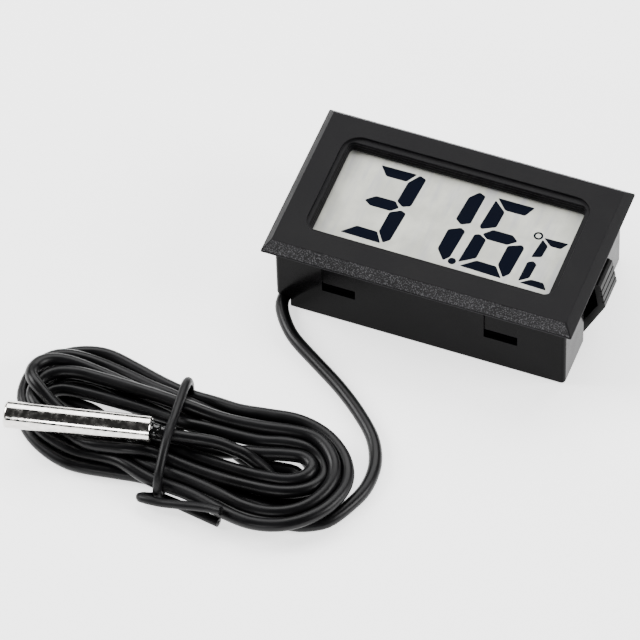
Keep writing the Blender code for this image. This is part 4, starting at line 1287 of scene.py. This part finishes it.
# %% Bend the tie round the hank
TIE_DIAMETER = 1.4 * MM
TIE_CORE = 0.5 * MM
TIE_MIDDLE = CORNER + Vector((-4.1, -30.43, 0.0))
TIE_TURN = math.radians(97.6)
# along the hank, across it, and height, in millimetres
TIE = (
    (-11.85, 9.55, 0.8), (-10.8, 6.0, 0.8), (-9.9, 3.0, 0.8), (-9.5, 1.2, 0.85),
    (-9.45, 0.3, 1.25), (-9.6, 0.0, 2.2), (-9.55, 0.0, 3.5), (-8.9, 0.0, 5.0),
    (-7.4, 0.0, 6.0), (-5.0, 0.0, 6.9), (-2.2, 0.0, 7.3), (0.0, 0.0, 6.9),
    (4.0, 0.0, 6.4), (7.0, 0.0, 6.0), (8.7, 0.0, 5.2), (9.4, 0.0, 3.9),
    (9.45, 0.0, 2.4), (9.2, 0.0, 1.2), (7.8, 0.0, 0.78), (4.0, 0.0, 0.78),
    (-1.0, 0.0, 0.78), (-5.0, 0.0, 0.78), (-8.6, 0.0, 0.78), (-9.45, -0.9, 0.85),
    (-9.95, -2.2, 1.2), (-10.45, -2.4, 1.6), (-10.9, -1.2, 2.0), (-11.2, 1.0, 2.3),
    (-11.45, 3.4, 2.9), (-11.8, 7.7, 3.9), (-12.35, 10.1, 4.5),
)


def tie_points():
    turn = Matrix.Rotation(TIE_TURN, 3, "Z")
    return [
        (TIE_MIDDLE + turn @ Vector((along, -across, height))) * MM
        for along, across, height in TIE
    ]


def tie_core(name, line):
    """The bare end of the core, just proud of the coating."""
    end, inner = Vector(line[0]), Vector(line[4])
    out = (end - inner).normalized()
    return tube(
        name,
        np.array([end - out * 0.4 * MM, end + out * 0.12 * MM]),
        TIE_CORE,
        LOOKS["epoxy"],
        resolution=2,
    )


tie_line = smooth_route(tie_points(), 0.35 * MM)
tie = place(
    tube("tie", tie_line, TIE_DIAMETER, LOOKS["tie_black"], resolution=3),
    "instrument", "cord_black", "hank_tie",
)
for name, line in (("tie_core_low", tie_line), ("tie_core_high", tie_line[::-1])):
    place(tie_core(name, line), "instrument", "steel")
print("tie length", round(line_length(tie_line), 4), "m")

# %% [markdown]
# ## The probe
#
# A thin steel sleeve, drawn to a closed nose and open at the cord's end.  It is
# turned from one profile that runs up the outside, over the thin rim and back
# down the inside, so the rim catches the light as the real one does.

# %% Turn the sleeve
PROBE_RADIUS, PROBE_WALL, PROBE_LENGTH = 2.0 * MM, 0.3 * MM, PROBE_REACH * MM
probe_matrix = (
    Matrix.Translation(Vector(probe_low))
    @ Matrix.Rotation(probe_turn + math.pi, 4, "Z")
    @ Matrix.Rotation(math.pi / 2, 4, "Y")
)


def probe_profile():
    nose, inside = PROBE_LENGTH, PROBE_RADIUS - PROBE_WALL
    profile = [(inside - 0.02 * MM, 0.12 * MM), (inside + 0.06 * MM, 0.0)]
    profile += [(PROBE_RADIUS - 0.08 * MM, 0.0), (PROBE_RADIUS, 0.1 * MM)]
    profile += [(PROBE_RADIUS, nose - 0.5 * MM)]
    for step in range(1, 7):
        turn = math.pi / 2 * step / 6
        profile.append(
            (
                PROBE_RADIUS - 0.5 * MM * (1 - math.cos(turn)),
                nose - 0.5 * MM + 0.5 * MM * math.sin(turn),
            )
        )
    profile += [(0.0, nose), (0.0, nose - PROBE_WALL), (inside, nose - PROBE_WALL)]
    profile += [(inside - 0.02 * MM, 0.12 * MM)]
    return profile


def make_probe():
    profile = probe_profile()
    return place(
        turned("probe", profile, LOOKS["steel"], steps=96, to_world=probe_matrix),
        "instrument", "steel", "probe_sleeve",
    )


probe = make_probe()
print("probe length", PROBE_LENGTH / MM, "mm")

# %% [markdown]
# A little clear glue was squeezed out of the mouth when the probe was sealed, and
# has dried in wrinkles on the cord.  It is a second skin round the last few
# millimetres of the cord, pushed in and out by a few sine waves.

# %% Dried glue at the mouth of the probe
GLUE_REACH = 3.6 * MM
GLUE_RINGS, GLUE_SIDES = 26, 28


def make_glue():
    back = settled[::-1]
    along = distances(back)
    begin = along[np.argmin(np.linalg.norm(back - np.array(probe_low), axis=1))] - 0.25 * MM
    shape = bmesh.new()
    rings = []
    for n in range(GLUE_RINGS):
        share = n / (GLUE_RINGS - 1)
        at = begin + share * GLUE_REACH
        here, after = (
            Vector([np.interp(s, along, back[:, k]) for k in range(3)])
            for s in (at, at + 0.2 * MM)
        )
        ahead = (after - here).normalized()
        side = ahead.cross(Vector((0, 0, 1))).normalized()
        up = side.cross(ahead)
        ring = []
        for k in range(GLUE_SIDES):
            t = 2 * math.pi * k / GLUE_SIDES
            wave = math.sin(23 * share + 1.6 * math.sin(2 * t)) + 0.6 * math.sin(41 * share + 3 * t)
            swell = 0.34 * (1 - share) ** 3 + 0.05 * wave * (1 - share) + 0.05
            radius = CORD_DIAMETER / 2 + max(swell, 0.015) * MM
            if n in (0, GLUE_RINGS - 1):
                radius = CORD_DIAMETER / 2 - 0.1 * MM
            ring.append(shape.verts.new(here + (side * math.cos(t) + up * math.sin(t)) * radius))
        rings.append(ring)
    for first, second in zip(rings, rings[1:]):
        skin(shape, first, second)
    shape.faces.new(rings[0])
    shape.faces.new(rings[-1])
    piece = link("mouth_glue", mesh_from(shape, "mouth_glue"), LOOKS["epoxy"])
    return place(piece, "instrument", "epoxy")


mouth_glue = make_glue()
print("glue faces:", len(mouth_glue.data.polygons))

# %% [markdown]
# ## Table and light
#
# The object stands on a plain, nearly white table.  A wide soft light hangs behind
# and above, one stands at each side, and the rest of the room is dim.  So the
# flat black face stays dark, the chamfers and the steel pick up bright edges, and
# the shadows are soft.

# %% Lay the table and set the lights
def make_floor():
    mesh = bpy.data.meshes.new("floor")
    mesh.from_pydata([(-3, -3, 0), (3, -3, 0), (3, 3, 0), (-3, 3, 0)], [], [(0, 1, 2, 3)])
    look, _, shader = new_look("floor")
    shader.inputs["Base Color"].default_value = (0.92, 0.92, 0.92, 1)
    shader.inputs["Roughness"].default_value = 0.8
    shader.inputs["Specular IOR Level"].default_value = 0.1
    shader.inputs["Emission Color"].default_value = (1, 1, 1, 1)
    shader.inputs["Emission Strength"].default_value = FLOOR_GLOW
    mesh.materials.append(look)
    floor = linked("floor", mesh)
    return floor


def area_light(name, spot, size, power, aim=(0, -0.02, 0)):
    data = bpy.data.lights.new(name, "AREA")
    data.shape = "RECTANGLE"
    data.size, data.size_y = size
    data.energy = power
    light = linked(name, data)
    light.location = spot
    light.rotation_mode = "QUATERNION"
    light.rotation_quaternion = (Vector(aim) - Vector(spot)).to_track_quat("-Z", "Y")
    return light


FLOOR_GLOW = 1.6
ROOM_LIGHT = 0.04
floor = make_floor()
world = bpy.data.worlds.new("studio")
bpy.context.scene.world = world
world.use_nodes = True
world.node_tree.nodes["Background"].inputs["Color"].default_value = (1, 1, 1, 1)
world.node_tree.nodes["Background"].inputs["Strength"].default_value = ROOM_LIGHT
area_light("behind", (-0.2, 1.1, 1.3), (1.8, 1.2), 50)
area_light("left", (-1.1, -0.1, 0.75), (0.7, 0.7), 30)
area_light("right", (1.1, 0.2, 0.6), (0.6, 0.6), 18)
area_light("front", (0.1, -1.3, 0.55), (0.5, 0.3), 7)
